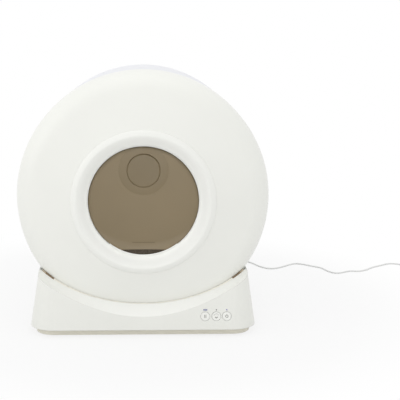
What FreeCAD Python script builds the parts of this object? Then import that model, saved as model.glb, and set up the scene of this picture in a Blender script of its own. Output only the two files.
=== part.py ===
"""Self-cleaning litter box: a drum on rollers in a low base, with a rear waste drawer.

Millimetres, +Z up, front facing -Y. The origin is on the floor, under the middle of the object.
The drum turns about an axis along Y.
"""
import FreeCAD, Part
import math
import os
import Sketcher

Vector = FreeCAD.Vector
ALONG_X = FreeCAD.Rotation(Vector(0, 1, 0), 90)
ALONG_Y = FreeCAD.Rotation(Vector(1, 0, 0), -90)

# Driving dimensions, one cell each
SIZES = {
    # drum as a whole, depths counted back from the front of the entry ring
    "ring_front": 250,
    "drum_radius": 265,
    "floor_gap": 18,
    "rear_step": 9,
    "wall": 3,
    "seat_radius": 149,
    "face_start": 7,
    "face_rise": 29,
    "front_corner": 50,
    "front_length": 107,
    "groove_width": 16,
    "back_depth": 470,
    "back_corner": 75,
    "cover_depth": 80,
    "flange_gap": 1,
    "front_flange": 12,
    "screw_lug_angle": 8,
    "seam": 0.3,
    # entry ring
    "ring_thick": 10,
    "ring_ledge": 12,
    "throat_inset": 34.5,
    "crest_inset": 4,
    "crest_width": 8.5,
    "throat_wall": 3,
    "throat_end": 24,
    "funnel_depth": 19,
    "ring_round": 3.5,
    "lip_thick": 1.2,
    "lip_half_angle": 38,
    # lining
    "liner_inset": 24,
    "liner_wall": 2.5,
    "liner_flange_width": 9,
    "waste_room": 65,
    "liner_corner": 50,
    "liner_back_depth": 65,
    "cone_lap": 1,
    "front_cone_depth": 24.5,
    "bowl_ahead": 47,
    "ledge_radius": 62,
    "ledge_width": 4,
    "ledge_depth": 0.8,
    "fill_mark_inset": 52,
    "fill_mark_half": 28,
    "fill_mark_height": 2.4,
    "mat_inset": 35,
    "mat_thick": 3,
    # gear train
    "gear_drop": 6,
    "ring_teeth": 125,
    "pinion_teeth": 18,
    "mesh_play": 0.8,
    "pinion_angle": 36,
    "pinion_width": 12,
    "shaft_radius": 4,
    "shaft_play": 0.05,
    # sifting screen
    "screen_gap": 2,
    "screen_rise": 3,
    "screen_fall": 30,
    "screen_thick": 3,
    "slot_width": 9,
    "slot_length": 92,
    "slot_pitch_along": 106,
    "slot_pitch": 15,
    "slot_columns": 19,
    # waste port and its flap
    "port_half": 72,
    "port_height": 55,
    "port_inset": 77,
    "flap_lap": 4,
    "flap_thick": 2,
    "hinge_radius": 1.5,
    "knuckle_radius": 3.5,
    "hinge_rise": 9,
    "hinge_back": 7,
    "ear_width": 4.5,
    # deodoriser
    "cap_radius": 41,
    "cap_proud": 10.5,
    "cap_wall": 2.2,
    "cap_round": 3,
    "boss_radius": 36,
    "boss_wall": 3,
    "boss_height": 7.5,
    "lug_depth": 2.5,
    "lug_angle": 30,
    "puck_height": 6.5,
    # waste drawer
    "bin_inset": 23,
    "bin_top": 22,
    "bin_gap": 6,
    "bin_wall": 2.5,
    "drawer_play": 0.4,
    "bin_face_lap": 8,
    "bin_face_depth": 39.7,
    "bin_face_wall": 3.6,
    "bin_face_draft": 8,
    "bin_face_round": 12,
    "grip_half": 50,
    "grip_low": 2,
    "grip_height": 21,
    "grip_depth": 26,
    # drum screws and magnet
    "drum_screw_count": 6,
    "drum_screw_inset": 4.7,
    "screw_radius": 2,
    "screw_head_radius": 3.6,
    "screw_head_height": 2.6,
    "magnet_radius": 4,
    "magnet_height": 4,
    # base shell
    "base_inset": 27.5,
    "base_ahead": 10,
    "base_short": 4,
    "base_corner": 52,
    "base_bottom": 15.5,
    "horn_drop": 153,
    "draft": 8.8,
    "cradle_gap": 5,
    "cradle_short": 25,
    "pan_strip_half": 110,
    "rear_cut_draw": 13,
    "band_front_level": 43,
    "band_front_radius": 320,
    "band_rise": 0.83,
    "band_spread": 4.9,
    "band_ahead": 20,
    "band_behind": 76,
    # base plate
    "plate_bottom": 2.5,
    "plate_inset": 12,
    "plate_floor": 3,
    "foot_radius": 15,
    "foot_inset": 59.5,
    "foot_front_inset": 55,
    "foot_rear_inset": 51,
    "load_cell_length": 40,
    "load_cell_width": 13,
    "load_cell_height": 7,
    "post_inset": 29.5,
    "post_front_inset": 82,
    "post_rear_inset": 76,
    "post_radius": 6,
    # rollers
    "roller_angle": 32,
    "roller_radius": 13,
    "roller_width": 14,
    "roller_front_gap": 14,
    "roller_rear_gap": 20,
    "axle_radius": 3,
    "axle_play": 0.05,
    "cheek_thick": 3,
    "cheek_half": 9,
    "bracket_foot": 3,
    "window_margin": 3,
    # drive
    "motor_angle": 38,
    "motor_room": 12,
    "motor_radius": 16,
    "motor_length": 50,
    "gearbox_nose": 9,
    "gearbox_round": 20,
    "gearbox_gap": 1,
    "gearbox_length": 22,
    # controls on the front face
    "button_radius": 9.25,
    "button_gap": 0.4,
    "button_proud": 0.4,
    "button_level": 43.7,
    "button_inset": 63.8,
    "button_pitch_right": 21.9,
    "button_pitch_left": 23.2,
    "indicator_level": 57,
    "board_depth": 13,
    "board_thick": 1.6,
    # power inlet
    "socket_inset": 87.5,
    "socket_level": 33,
    "socket_proud": 2,
    "socket_length": 20,
    "socket_half_width": 8,
    "socket_half_height": 7,
    "socket_bore": 2.85,
    "plug_barrel": 2.75,
    "plug_barrel_length": 9.5,
    "plug_radius": 5,
    "plug_length": 20,
    "relief_length": 12,
    # lead
    "cord_radius": 2,
    "coil_across": 735,
    "coil_along": 318,
    "coil_mid_radius": 23.5,
    "coil_turns": 4.25,
    "coil_gap": 0.6,
    "coil_lift": 3.2,
    "coil_tail": 30,
    "adapter_width": 38,
    "adapter_length": 48,
    "adapter_height": 28,
    "pin_radius": 2,
    "pin_length": 19,
    "pin_spacing": 19,
}

doc = FreeCAD.newDocument("litter_box")
dims = doc.addObject("Spreadsheet::Sheet", "dims")
for row, (word, size) in enumerate(SIZES.items(), start=1):
    dims.set(f"A{row}", word)
    dims.set(f"B{row}", str(size))
    dims.setAlias(f"B{row}", word)
doc.recompute()

pieces = {}


def value(text):
    """The number that an expression over the sheet gives."""
    return float(dims.evalExpression(str(text)))


def bind(thing, prop, text):
    """Tie a property to an expression over the sheet."""
    thing.setExpression(prop, str(text))


def keep(name, thing):
    """Name a finished sub-part, which is exported under that name."""
    thing.Label = name
    pieces[name] = thing
    return thing


def place(thing, across="0", along="0", up="0", rotation=None):
    """Stand an object in the frame, with each distance tied to the sheet."""
    spot = Vector(value(across), value(along), value(up))
    thing.Placement = FreeCAD.Placement(spot, rotation or FreeCAD.Rotation())
    for axis, text in zip("xyz", (across, along, up)):
        bind(thing, f"Placement.Base.{axis}", text)
    return thing


def behind(depth):
    """The y of a depth behind the entry ring's front plane."""
    return f"({depth} - dims.ring_front)"


# Sketches: every point is held by its distances from the sketch's origin

def new_body(name):
    body = doc.addObject("PartDesign::Body", name)
    body.AllowCompound = True
    return body


def new_sketch(body, role, name, offset=None):
    """A sketch on one of the body's own origin planes, or a distance along that plane's normal."""
    sketch = body.newObject("Sketcher::SketchObject", name)
    plane = next(item for item in body.Origin.OriginFeatures if item.Role == role)
    sketch.AttachmentSupport = [(plane, "")]
    sketch.MapMode = "FlatFace"
    if offset is not None:
        sketch.AttachmentOffset = FreeCAD.Placement(Vector(0, 0, value(offset)), FreeCAD.Rotation())
        bind(sketch, "AttachmentOffset.Base.z", offset)
    return sketch


def hold(sketch, kind, geometry, point, text):
    """One distance from the origin, tied to the sheet."""
    index = sketch.addConstraint(Sketcher.Constraint(kind, geometry, point, value(text)))
    bind(sketch, f"Constraints[{index}]", text)


def polygon(sketch, points):
    """Closed outline of straight lines through points given as pairs of expressions."""
    spots = [Vector(value(across), value(up), 0) for across, up in points]
    first = sketch.GeometryCount
    count = len(points)
    for start, end in zip(spots, spots[1:] + spots[:1]):
        sketch.addGeometry(Part.LineSegment(start, end))
    for step, (across, up) in enumerate(points):
        after = first + (step + 1) % count
        sketch.addConstraint(Sketcher.Constraint("Coincident", first + step, 2, after, 1))
        hold(sketch, "DistanceX", first + step, 1, across)
        hold(sketch, "DistanceY", first + step, 1, up)
    return sketch


def rectangle(sketch, left, right, low, high):
    return polygon(sketch, [(left, low), (right, low), (right, high), (left, high)])


def circle(sketch, across, up, radius):
    spot = Vector(value(across), value(up), 0)
    index = sketch.addGeometry(Part.Circle(spot, Vector(0, 0, 1), value(radius)))
    hold(sketch, "DistanceX", index, 3, across)
    hold(sketch, "DistanceY", index, 3, up)
    size = sketch.addConstraint(Sketcher.Constraint("Radius", index, value(radius)))
    bind(sketch, f"Constraints[{size}]", radius)
    return sketch


def rounded_rectangle(sketch, left, right, low, high, radius):
    """Four lines and four tangent corner arcs."""
    x0, x1, y0, y1, r = (value(text) for text in (left, right, low, high, radius))
    lines = [
        ((x0 + r, y0), (x1 - r, y0)),
        ((x1, y0 + r), (x1, y1 - r)),
        ((x1 - r, y1), (x0 + r, y1)),
        ((x0, y1 - r), (x0, y0 + r)),
    ]
    centres = [(x1 - r, y0 + r), (x1 - r, y1 - r), (x0 + r, y1 - r), (x0 + r, y0 + r)]
    for start, end in lines:
        sketch.addGeometry(Part.LineSegment(Vector(*start, 0), Vector(*end, 0)))
    for corner, (cx, cy) in enumerate(centres):
        whole = Part.Circle(Vector(cx, cy, 0), Vector(0, 0, 1), r)
        turn = math.pi / 2
        sketch.addGeometry(Part.ArcOfCircle(whole, (corner - 1) * turn, corner * turn))
    for side in range(4):
        sketch.addConstraint(Sketcher.Constraint("Tangent", side, 2, 4 + side, 1))
        sketch.addConstraint(Sketcher.Constraint("Tangent", 4 + side, 2, (side + 1) % 4, 1))
    sketch.addConstraint(Sketcher.Constraint("Horizontal", 0))
    sketch.addConstraint(Sketcher.Constraint("Vertical", 1))
    sketch.addConstraint(Sketcher.Constraint("Horizontal", 2))
    sketch.addConstraint(Sketcher.Constraint("Vertical", 3))
    for corner in range(5, 8):
        sketch.addConstraint(Sketcher.Constraint("Equal", 4, corner))
    size = sketch.addConstraint(Sketcher.Constraint("Radius", 4, r))
    bind(sketch, f"Constraints[{size}]", radius)
    hold(sketch, "DistanceY", 0, 1, low)
    hold(sketch, "DistanceX", 1, 1, right)
    hold(sketch, "DistanceY", 2, 1, high)
    hold(sketch, "DistanceX", 3, 1, left)
    return sketch


def chord_shape(sketch, radius, level):
    """A round outline centred on the origin, cut off flat at a level above it."""
    r, top = value(radius), value(level)
    lift = math.asin(top / r)
    whole = Part.Circle(Vector(0, 0, 0), Vector(0, 0, 1), r)
    arc = sketch.addGeometry(Part.ArcOfCircle(whole, math.pi - lift, 2 * math.pi + lift))
    reach = math.sqrt(r * r - top * top)
    line = sketch.addGeometry(Part.LineSegment(Vector(reach, top, 0), Vector(-reach, top, 0)))
    sketch.addConstraint(Sketcher.Constraint("Coincident", arc, 3, -1, 1))
    sketch.addConstraint(Sketcher.Constraint("Coincident", arc, 2, line, 1))
    sketch.addConstraint(Sketcher.Constraint("Coincident", line, 2, arc, 1))
    sketch.addConstraint(Sketcher.Constraint("Horizontal", line))
    size = sketch.addConstraint(Sketcher.Constraint("Radius", arc, r))
    bind(sketch, f"Constraints[{size}]", radius)
    hold(sketch, "DistanceY", line, 1, level)
    return sketch


# Features of a body

def feature(body, kind, name, sketch):
    item = body.newObject(f"PartDesign::{kind}", name)
    item.Profile = sketch
    return item


def pad(body, sketch, length, both=False, back=False, taper=None, kind="Pad"):
    """Pad or pocket along the sketch's normal, both ways or backwards."""
    item = feature(body, kind, f"{sketch.Name}_{kind.lower()}", sketch)
    item.Length = value(length)
    bind(item, "Length", length)
    item.Midplane = both
    item.Reversed = back
    if taper is not None:
        item.TaperAngle = value(taper)
        bind(item, "TaperAngle", taper)
    sketch.Visibility = False
    body.Tip = item
    return item


def pocket(body, sketch, length, both=False, back=False, taper=None):
    return pad(body, sketch, length, both, back, taper, kind="Pocket")


def revolve(body, sketch, angle="360", both=False, kind="Revolution"):
    """Turn a sketch about its own horizontal axis."""
    item = feature(body, kind, f"{sketch.Name}_{kind.lower()}", sketch)
    item.ReferenceAxis = (sketch, ["H_Axis"])
    item.Angle = value(angle)
    bind(item, "Angle", angle)
    item.Midplane = both
    body.Tip = item
    return item


def groove(body, sketch, angle="360", both=False):
    return revolve(body, sketch, angle, both, kind="Groove")


def round_about(body, features, count):
    """Repeat features evenly about the body's Y axis."""
    item = body.newObject("PartDesign::PolarPattern", f"{features[0].Name}_round")
    item.Originals = features
    axis = next(part for part in body.Origin.OriginFeatures if part.Role == "Y_Axis")
    item.Axis = (axis, [""])
    item.Angle = 360
    item.Occurrences = int(value(count))
    bind(item, "Occurrences", count)
    body.Tip = item
    return item


def fillet(body, radius, wanted):
    """Round the edges of the body's last feature that a test picks."""
    doc.recompute()
    edges = body.Tip.Shape.Edges
    names = [f"Edge{number}" for number, edge in enumerate(edges, start=1) if wanted(edge)]
    if not names:
        raise ValueError(f"no edge to round on {body.Name}")
    base = body.Tip
    item = body.newObject("PartDesign::Fillet", f"{body.Name}_fillet")
    item.Base = (base, names)
    item.Radius = value(radius)
    bind(item, "Radius", radius)
    body.Tip = item
    return item


def circle_at(radius, along):
    """A test for a round edge about the Y axis."""
    r, y = value(radius), value(along)

    def wanted(edge):
        curve = edge.Curve
        if not isinstance(curve, Part.Circle):
            return False
        return abs(curve.Radius - r) < 0.01 and abs(curve.Center.y - y) < 0.01 and edge.Length > r

    return wanted


def edges_in(x=None, y=None, z=None):
    """A test for edges that lie wholly inside the given ranges."""
    ranges = ((x, "X"), (y, "Y"), (z, "Z"))

    def wanted(edge):
        bounds = edge.BoundBox
        for limits, axis in ranges:
            if limits is None:
                continue
            low, high = sorted(limits)
            if getattr(bounds, f"{axis}Min") < low - 0.01 or getattr(bounds, f"{axis}Max") > high + 0.01:
                return False
        return True

    return wanted


# Whole objects

def block(name, x, y, z):
    """A box from pairs of expressions, low and high along each axis."""
    item = doc.addObject("Part::Box", name)
    for prop, (low, high) in zip(("Length", "Width", "Height"), (x, y, z)):
        bind(item, prop, f"({high}) - ({low})")
    return place(item, x[0], y[0], z[0])


def rod(name, radius, length, across="0", along="0", up="0", rotation=None):
    item = doc.addObject("Part::Cylinder", name)
    bind(item, "Radius", radius)
    bind(item, "Height", length)
    return place(item, across, along, up, rotation)


def join(name, items):
    item = doc.addObject("Part::MultiFuse", name)
    item.Shapes = items
    return item


def cut(name, base, tools):
    item = doc.addObject("Part::Cut", name)
    item.Base = base
    item.Tool = tools[0] if len(tools) == 1 else join(f"{name}_tools", tools)
    return item


def solid_piece(name, shape):
    """A sub-part whose shape is worked out here, from the sheet's sizes."""
    item = doc.addObject("Part::Feature", name)
    item.Shape = shape
    return item


def on_axis(name, body):
    """A finished drum piece, whose own Y axis is the drum's axis."""
    return keep(name, place(body, up=axis_height))


# Sizes that follow from others, so that what belongs together stays together

rear_radius = "(dims.drum_radius - dims.rear_step)"
axis_height = "(dims.drum_radius + dims.floor_gap)"
liner_radius = f"({rear_radius} - dims.liner_inset)"
liner_outer = f"({liner_radius} + dims.liner_wall)"
liner_depth = "(dims.back_depth - dims.waste_room)"
liner_joint = f"({liner_depth} - dims.liner_back_depth)"
flange_inner = f"({liner_outer} + dims.flange_gap)"
liner_flange = f"({flange_inner} + dims.liner_flange_width)"
drum_screw_circle = f"({flange_inner} + dims.drum_screw_inset)"
gear_module = f"(2 * ({rear_radius} - dims.gear_drop) / dims.ring_teeth)"
gear_front = "(dims.front_length + dims.liner_wall)"
gear_back = "(dims.front_length + dims.groove_width)"
stack_back = f"({gear_back} + dims.wall)"
gear_pitch = f"({gear_module} * dims.ring_teeth / 2)"
pinion_pitch = f"({gear_module} * dims.pinion_teeth / 2)"
screw_hole = "(dims.screw_radius + 0.1)"
throat_radius = "(dims.seat_radius - dims.throat_inset)"
ring_seat_inner = "(dims.seat_radius - dims.ring_ledge)"
crest_outer = "(dims.seat_radius - dims.crest_inset)"
crest_inner = f"({crest_outer} - dims.crest_width)"
front_cone_radius = "(dims.seat_radius + dims.cone_lap)"
front_cone_end = "(dims.front_length - dims.bowl_ahead)"
face_slope = "(dims.face_rise / (dims.drum_radius - dims.seat_radius))"
face_stretch = f"sqrt(1 + {face_slope} * {face_slope})"
fill_mark_drop = f"({liner_radius} - dims.fill_mark_inset)"
mat_level = f"({liner_radius} - dims.mat_inset)"
port_high = f"({liner_radius} - dims.port_inset)"
port_low = f"({port_high} - dims.port_height)"
hinge_level = f"({port_high} + dims.hinge_rise)"
hinge_along = behind(f"({liner_depth} + dims.liner_wall + 0.5 + dims.knuckle_radius)")
screen_front_depth = f"({front_cone_end} + dims.screen_gap)"
screen_rear_level = f"({port_high} + dims.screen_rise)"
screen_front_level = f"({screen_rear_level} - dims.screen_fall)"
bin_radius = f"({rear_radius} - dims.back_corner - dims.bin_inset)"
bin_start = f"({liner_depth} + dims.bin_gap)"
base_half = "(dims.drum_radius - dims.base_inset)"
base_front = "(dims.ring_front + dims.base_ahead)"
base_rear = "(dims.back_depth - dims.ring_front - dims.base_short)"
base_top = f"({axis_height} - dims.horn_drop)"
cradle_rear = f"({base_rear} - dims.cradle_short)"
rear_cut_small = f"({rear_radius} - dims.rear_cut_draw)"
foot_across = f"({base_half} - dims.foot_inset)"
foot_front = f"({base_front} - dims.foot_front_inset)"
foot_rear = f"({base_rear} - dims.foot_rear_inset)"
post_across = f"({base_half} - dims.post_inset)"
post_front = f"({base_front} - dims.post_front_inset)"
post_rear = f"({base_rear} - dims.post_rear_inset)"
button_right = f"({base_half} - dims.button_inset)"
button_middle = f"({button_right} - dims.button_pitch_right)"
button_left = f"({button_middle} - dims.button_pitch_left)"
socket_across = f"({base_half} - dims.socket_inset)"
socket_rear = f"({base_rear} + dims.socket_proud)"
socket_front = f"({socket_rear} - dims.socket_length)"
roller_front = f"({behind(stack_back)} + dims.roller_front_gap)"
roller_rear = behind("(dims.back_depth - dims.cover_depth - dims.roller_rear_gap)")
motor_reach = "(dims.drum_radius + dims.cradle_gap + dims.wall + dims.gearbox_round + dims.motor_room)"
gearbox_start = f"({behind(gear_back)} + dims.gearbox_gap)"


def face_line(radius, inset="0"):
    """The depth of the drum's front face at a radius, or of a line inside it."""
    return f"(dims.face_start + ({radius} - dims.seat_radius) * {face_slope} + ({inset}) * {face_stretch})"


# Drum

def screw_holes(body, start, length):
    """Holes for the screws that clamp the drum's flanges together."""
    sketch = new_sketch(body, "XZ_Plane", f"{body.Name}_holes", f"0 - {behind(start)}")
    circle(sketch, "0", drum_screw_circle, screw_hole)
    hole = pocket(body, sketch, length)
    round_about(body, [hole], "dims.drum_screw_count")


def make_front_shell():
    """White front half: conical face, round shoulder, and a narrow flange with screw lugs at the back."""
    body = new_body("front_shell")
    sketch = new_sketch(body, "YZ_Plane", "front_shell_section")
    inner = "(dims.drum_radius - dims.wall)"
    flange = f"({inner} - dims.front_flange)"
    ledge_back = "(dims.ring_thick + dims.wall)"
    ledge_radius = f"(dims.seat_radius + ({ledge_back} - dims.face_start - dims.wall * {face_stretch}) / {face_slope})"
    polygon(sketch, [
        (behind("dims.ring_thick"), ring_seat_inner),
        (behind("dims.ring_thick"), "dims.seat_radius"),
        (behind("dims.face_start"), "dims.seat_radius"),
        (behind(face_line("dims.drum_radius")), "dims.drum_radius"),
        (behind("dims.front_length"), "dims.drum_radius"),
        (behind("dims.front_length"), flange),
        (behind("(dims.front_length - dims.wall)"), flange),
        (behind("(dims.front_length - dims.wall)"), inner),
        (behind(face_line(inner, "dims.wall")), inner),
        (behind(ledge_back), ledge_radius),
        (behind(ledge_back), ring_seat_inner),
    ])
    revolve(body, sketch)
    fillet(body, "dims.front_corner", circle_at("dims.drum_radius", behind(face_line("dims.drum_radius"))))
    fillet(body, "dims.front_corner - dims.wall", circle_at(inner, behind(face_line(inner, "dims.wall"))))
    lug = new_sketch(body, "YZ_Plane", "front_shell_lug")
    rectangle(lug, behind("(dims.front_length - dims.wall)"), behind("dims.front_length"),
              flange_inner, f"{flange} + 1")
    lugs = revolve(body, lug, "dims.screw_lug_angle", both=True)
    round_about(body, [lugs], "dims.drum_screw_count")
    screw_holes(body, "(dims.front_length - dims.wall)", "dims.wall")
    return on_axis("front_shell", body)


def make_entry_ring():
    """Raised bead round the opening, with a funnel that leads into the throat."""
    body = new_body("entry_ring")
    sketch = new_sketch(body, "YZ_Plane", "entry_ring_section")
    tube = f"({throat_radius} + dims.throat_wall)"
    polygon(sketch, [
        (behind("0"), crest_inner),
        (behind("0"), crest_outer),
        (behind("(dims.ring_thick / 2)"), "(dims.seat_radius - dims.seam)"),
        (behind("dims.ring_thick"), "(dims.seat_radius - dims.seam)"),
        (behind("dims.ring_thick"), f"({ring_seat_inner} - dims.throat_wall)"),
        (behind("(dims.funnel_depth + dims.throat_wall)"), tube),
        (behind("dims.throat_end"), tube),
        (behind("dims.throat_end"), throat_radius),
        (behind("dims.funnel_depth"), throat_radius),
    ])
    revolve(body, sketch)
    fillet(body, "dims.ring_round", circle_at(crest_outer, behind("0")))
    fillet(body, "dims.ring_round", circle_at(crest_inner, behind("0")))
    fillet(body, "dims.ring_round", circle_at(throat_radius, behind("dims.funnel_depth")))
    return on_axis("entry_ring", body)


def make_threshold_lip():
    """Soft lip along the bottom of the throat."""
    body = new_body("threshold_lip")
    sketch = new_sketch(body, "YZ_Plane", "threshold_lip_section")
    outer = f"(0 - {throat_radius})"
    inner = f"(0 - {throat_radius} + dims.lip_thick)"
    front = "(dims.funnel_depth + 1)"
    polygon(sketch, [
        (behind(front), outer),
        (behind(f"({front} + 1)"), inner),
        (behind("(dims.throat_end - 1)"), inner),
        (behind("dims.throat_end"), outer),
    ])
    revolve(body, sketch, "2 * dims.lip_half_angle", both=True)
    return on_axis("threshold_lip", body)


def gear_outline(teeth, module, slack, along=0):
    """Straight-flanked tooth outline about the Y axis, with its flanks drawn in by the slack."""
    pitch = module * teeth / 2
    root = pitch - 1.25 * module
    tip = pitch + module
    step = 2 * math.pi / teeth
    lean = math.tan(math.radians(20))
    half = (math.pi * module / 2 - slack) / 2
    corners = []
    for tooth in range(teeth):
        middle = tooth * step
        for side in (-1, 1):
            levels = (root, pitch, tip) if side < 0 else (tip, pitch, root)
            for level in levels:
                width = half - (level - pitch) * lean
                angle = middle + side * width / level
                corners.append(Vector(level * math.sin(angle), along, level * math.cos(angle)))
    return Part.makePolygon(corners + corners[:1])


def make_ring_gear():
    """Toothed ring clamped between the drum's two halves."""
    module = value(gear_module)
    start = value(behind(gear_front))
    outline = gear_outline(int(value("dims.ring_teeth")), module, value("dims.mesh_play"), start)
    width = value(f"{gear_back} - {gear_front}")
    gear = Part.Face(outline).extrude(Vector(0, width, 0))
    bore = Part.makeCylinder(value(flange_inner), width, Vector(0, start, 0), Vector(0, 1, 0))
    gear = gear.cut(bore)
    count = int(value("dims.drum_screw_count"))
    for number in range(count):
        angle = 2 * math.pi * number / count
        reach = value(drum_screw_circle)
        spot = Vector(reach * math.sin(angle), start, reach * math.cos(angle))
        gear = gear.cut(Part.makeCylinder(value(screw_hole), width, spot, Vector(0, 1, 0)))
    item = solid_piece("ring_gear", gear)
    return on_axis("ring_gear", item)


def make_rear_shell():
    """White rear half: a plain barrel, closed by a cover with a round corner and the drawer's opening."""
    body = new_body("rear_shell")
    sketch = new_sketch(body, "YZ_Plane", "rear_shell_section")
    inner = f"({rear_radius} - dims.wall)"
    inside_back = "(dims.back_depth - dims.wall)"
    cover_start = "(dims.back_depth - dims.cover_depth)"
    polygon(sketch, [
        (behind(gear_back), flange_inner),
        (behind(gear_back), rear_radius),
        (behind(cover_start), rear_radius),
        (behind(cover_start), inner),
        (behind(stack_back), inner),
        (behind(stack_back), flange_inner),
    ])
    revolve(body, sketch)
    screw_holes(body, gear_back, "dims.wall")
    on_axis("rear_shell", body)

    cover = new_body("rear_cover")
    sketch = new_sketch(cover, "YZ_Plane", "rear_cover_section")
    polygon(sketch, [
        (behind(cover_start), inner),
        (behind(cover_start), rear_radius),
        (behind("dims.back_depth"), rear_radius),
        (behind("dims.back_depth"), "0"),
        (behind(inside_back), "0"),
        (behind(inside_back), inner),
    ])
    revolve(cover, sketch)
    fillet(cover, "dims.back_corner", circle_at(rear_radius, behind("dims.back_depth")))
    fillet(cover, "dims.back_corner - dims.wall", circle_at(inner, behind(inside_back)))
    hollow = new_sketch(cover, "XZ_Plane", "drawer_opening", f"0 - {behind(inside_back)}")
    chord_shape(hollow, f"{bin_radius} + dims.drawer_play", "dims.bin_top + dims.drawer_play")
    pocket(cover, hollow, "dims.wall")
    on_axis("rear_cover", cover)

    sleeve = new_body("drawer_sleeve")
    tunnel = new_sketch(sleeve, "XZ_Plane", "drawer_tunnel", f"0 - {behind(bin_start)}")
    chord_shape(tunnel, f"{bin_radius} + dims.drawer_play + dims.bin_wall", "dims.bin_top + dims.drawer_play")
    pad(sleeve, tunnel, f"{inside_back} - {bin_start}", back=True)
    space = new_sketch(sleeve, "XZ_Plane", "drawer_space", f"0 - {behind(bin_start)}")
    chord_shape(space, f"{bin_radius} + dims.drawer_play", "dims.bin_top + dims.drawer_play + dims.wall")
    pocket(sleeve, space, f"{inside_back} - {bin_start}")
    on_axis("drawer_sleeve", sleeve)


def make_drum_liner():
    """Taupe bowl that holds the litter: a plain wall with a flange that the shells clamp."""
    body = new_body("drum_liner")
    sketch = new_sketch(body, "YZ_Plane", "drum_liner_section")
    polygon(sketch, [
        (behind(front_cone_end), liner_radius),
        (behind(front_cone_end), liner_outer),
        (behind("dims.front_length"), liner_outer),
        (behind("dims.front_length"), liner_flange),
        (behind(gear_front), liner_flange),
        (behind(gear_front), liner_outer),
        (behind(liner_joint), liner_outer),
        (behind(liner_joint), liner_radius),
    ])
    revolve(body, sketch)
    screw_holes(body, "dims.front_length", "dims.liner_wall")
    return on_axis("drum_liner", body)


def make_liner_back():
    """Taupe back wall of the bowl, with the waste port, cap boss and hinge ears."""
    body = new_body("liner_back")
    sketch = new_sketch(body, "YZ_Plane", "liner_back_section")
    outer_back = f"({liner_depth} + dims.liner_wall)"
    polygon(sketch, [
        (behind(liner_joint), liner_radius),
        (behind(liner_joint), liner_outer),
        (behind(outer_back), liner_outer),
        (behind(outer_back), "0"),
        (behind(liner_depth), "0"),
        (behind(liner_depth), liner_radius),
    ])
    revolve(body, sketch)
    fillet(body, "dims.liner_corner", circle_at(liner_radius, behind(liner_depth)))
    fillet(body, "dims.liner_corner + dims.liner_wall", circle_at(liner_outer, behind(outer_back)))

    ledge = new_sketch(body, "YZ_Plane", "liner_ledge")
    rectangle(ledge, behind(f"({liner_depth} - 1)"), behind(f"({liner_depth} + dims.ledge_depth)"),
              "dims.ledge_radius", "dims.ledge_radius + dims.ledge_width")
    groove(body, ledge)

    boss = new_sketch(body, "YZ_Plane", "cap_boss")
    rectangle(boss, behind(f"({liner_depth} - dims.boss_height)"), behind(f"({liner_depth} + 1)"),
              "dims.boss_radius - dims.boss_wall", "dims.boss_radius")
    revolve(body, boss)
    lug = new_sketch(body, "YZ_Plane", "boss_lug")
    rectangle(lug, behind(f"({liner_depth} - dims.boss_height)"),
              behind(f"({liner_depth} - dims.boss_height + 2)"),
              "dims.boss_radius - 1", "dims.boss_radius + dims.lug_depth")
    lugs = revolve(body, lug, "dims.lug_angle", both=True)
    round_about(body, [lugs], "3")

    port = new_sketch(body, "XZ_Plane", "waste_port", f"0 - {behind(f'({liner_depth} - 5)')}")
    rectangle(port, "0 - dims.port_half", "dims.port_half", port_low, port_high)
    pocket(body, port, "dims.liner_wall + 10")

    mark = new_sketch(body, "XZ_Plane", "fill_mark", f"0 - {behind(f'({liner_depth} - 10)')}")
    half_mark = "dims.fill_mark_height / 2"
    rectangle(mark, "0 - dims.fill_mark_half", "dims.fill_mark_half",
              f"0 - {fill_mark_drop} - {half_mark}", f"0 - {fill_mark_drop} + {half_mark}")
    pocket(body, mark, "10 + dims.ledge_depth")

    inside = "(dims.port_half + dims.flap_lap + dims.seam)"
    ear_low = f"({hinge_level} - dims.knuckle_radius)"
    ear_high = f"({hinge_level} + dims.knuckle_radius)"
    ear_back = behind(f"({outer_back} + dims.hinge_back)")
    ears = new_sketch(body, "YZ_Plane", "hinge_ears")
    rectangle(ears, behind(f"({liner_depth} + 0.3)"), ear_back, ear_low, ear_high)
    pad(body, ears, f"2 * ({inside} + dims.ear_width)", both=True)
    between = new_sketch(body, "YZ_Plane", "hinge_gap")
    rectangle(between, behind(outer_back), behind(f"({outer_back} + dims.hinge_back + 1)"),
              f"{ear_low} - 1", f"{ear_high} + 1")
    pocket(body, between, f"2 * {inside}", both=True)
    bore = new_sketch(body, "YZ_Plane", "hinge_bore")
    circle(bore, hinge_along, hinge_level, "dims.hinge_radius")
    pocket(body, bore, f"2 * ({inside} + dims.ear_width)", both=True)
    return on_axis("liner_back", body)


def make_front_liner():
    """Taupe cone that lines the front shell from the throat to the bowl's front rim."""
    body = new_body("front_liner")
    sketch = new_sketch(body, "YZ_Plane", "front_liner_section")
    rim = f"({throat_radius} + dims.throat_wall + dims.seam)"
    polygon(sketch, [
        (behind("(dims.front_cone_depth - dims.liner_wall)"), rim),
        (behind("(dims.front_cone_depth - dims.liner_wall)"), front_cone_radius),
        (behind(f"({front_cone_end} - dims.liner_wall)"), liner_outer),
        (behind(front_cone_end), liner_outer),
        (behind(front_cone_end), liner_radius),
        (behind("dims.front_cone_depth"), front_cone_radius),
        (behind("dims.front_cone_depth"), rim),
    ])
    revolve(body, sketch)
    return on_axis("front_liner", body)


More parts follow.
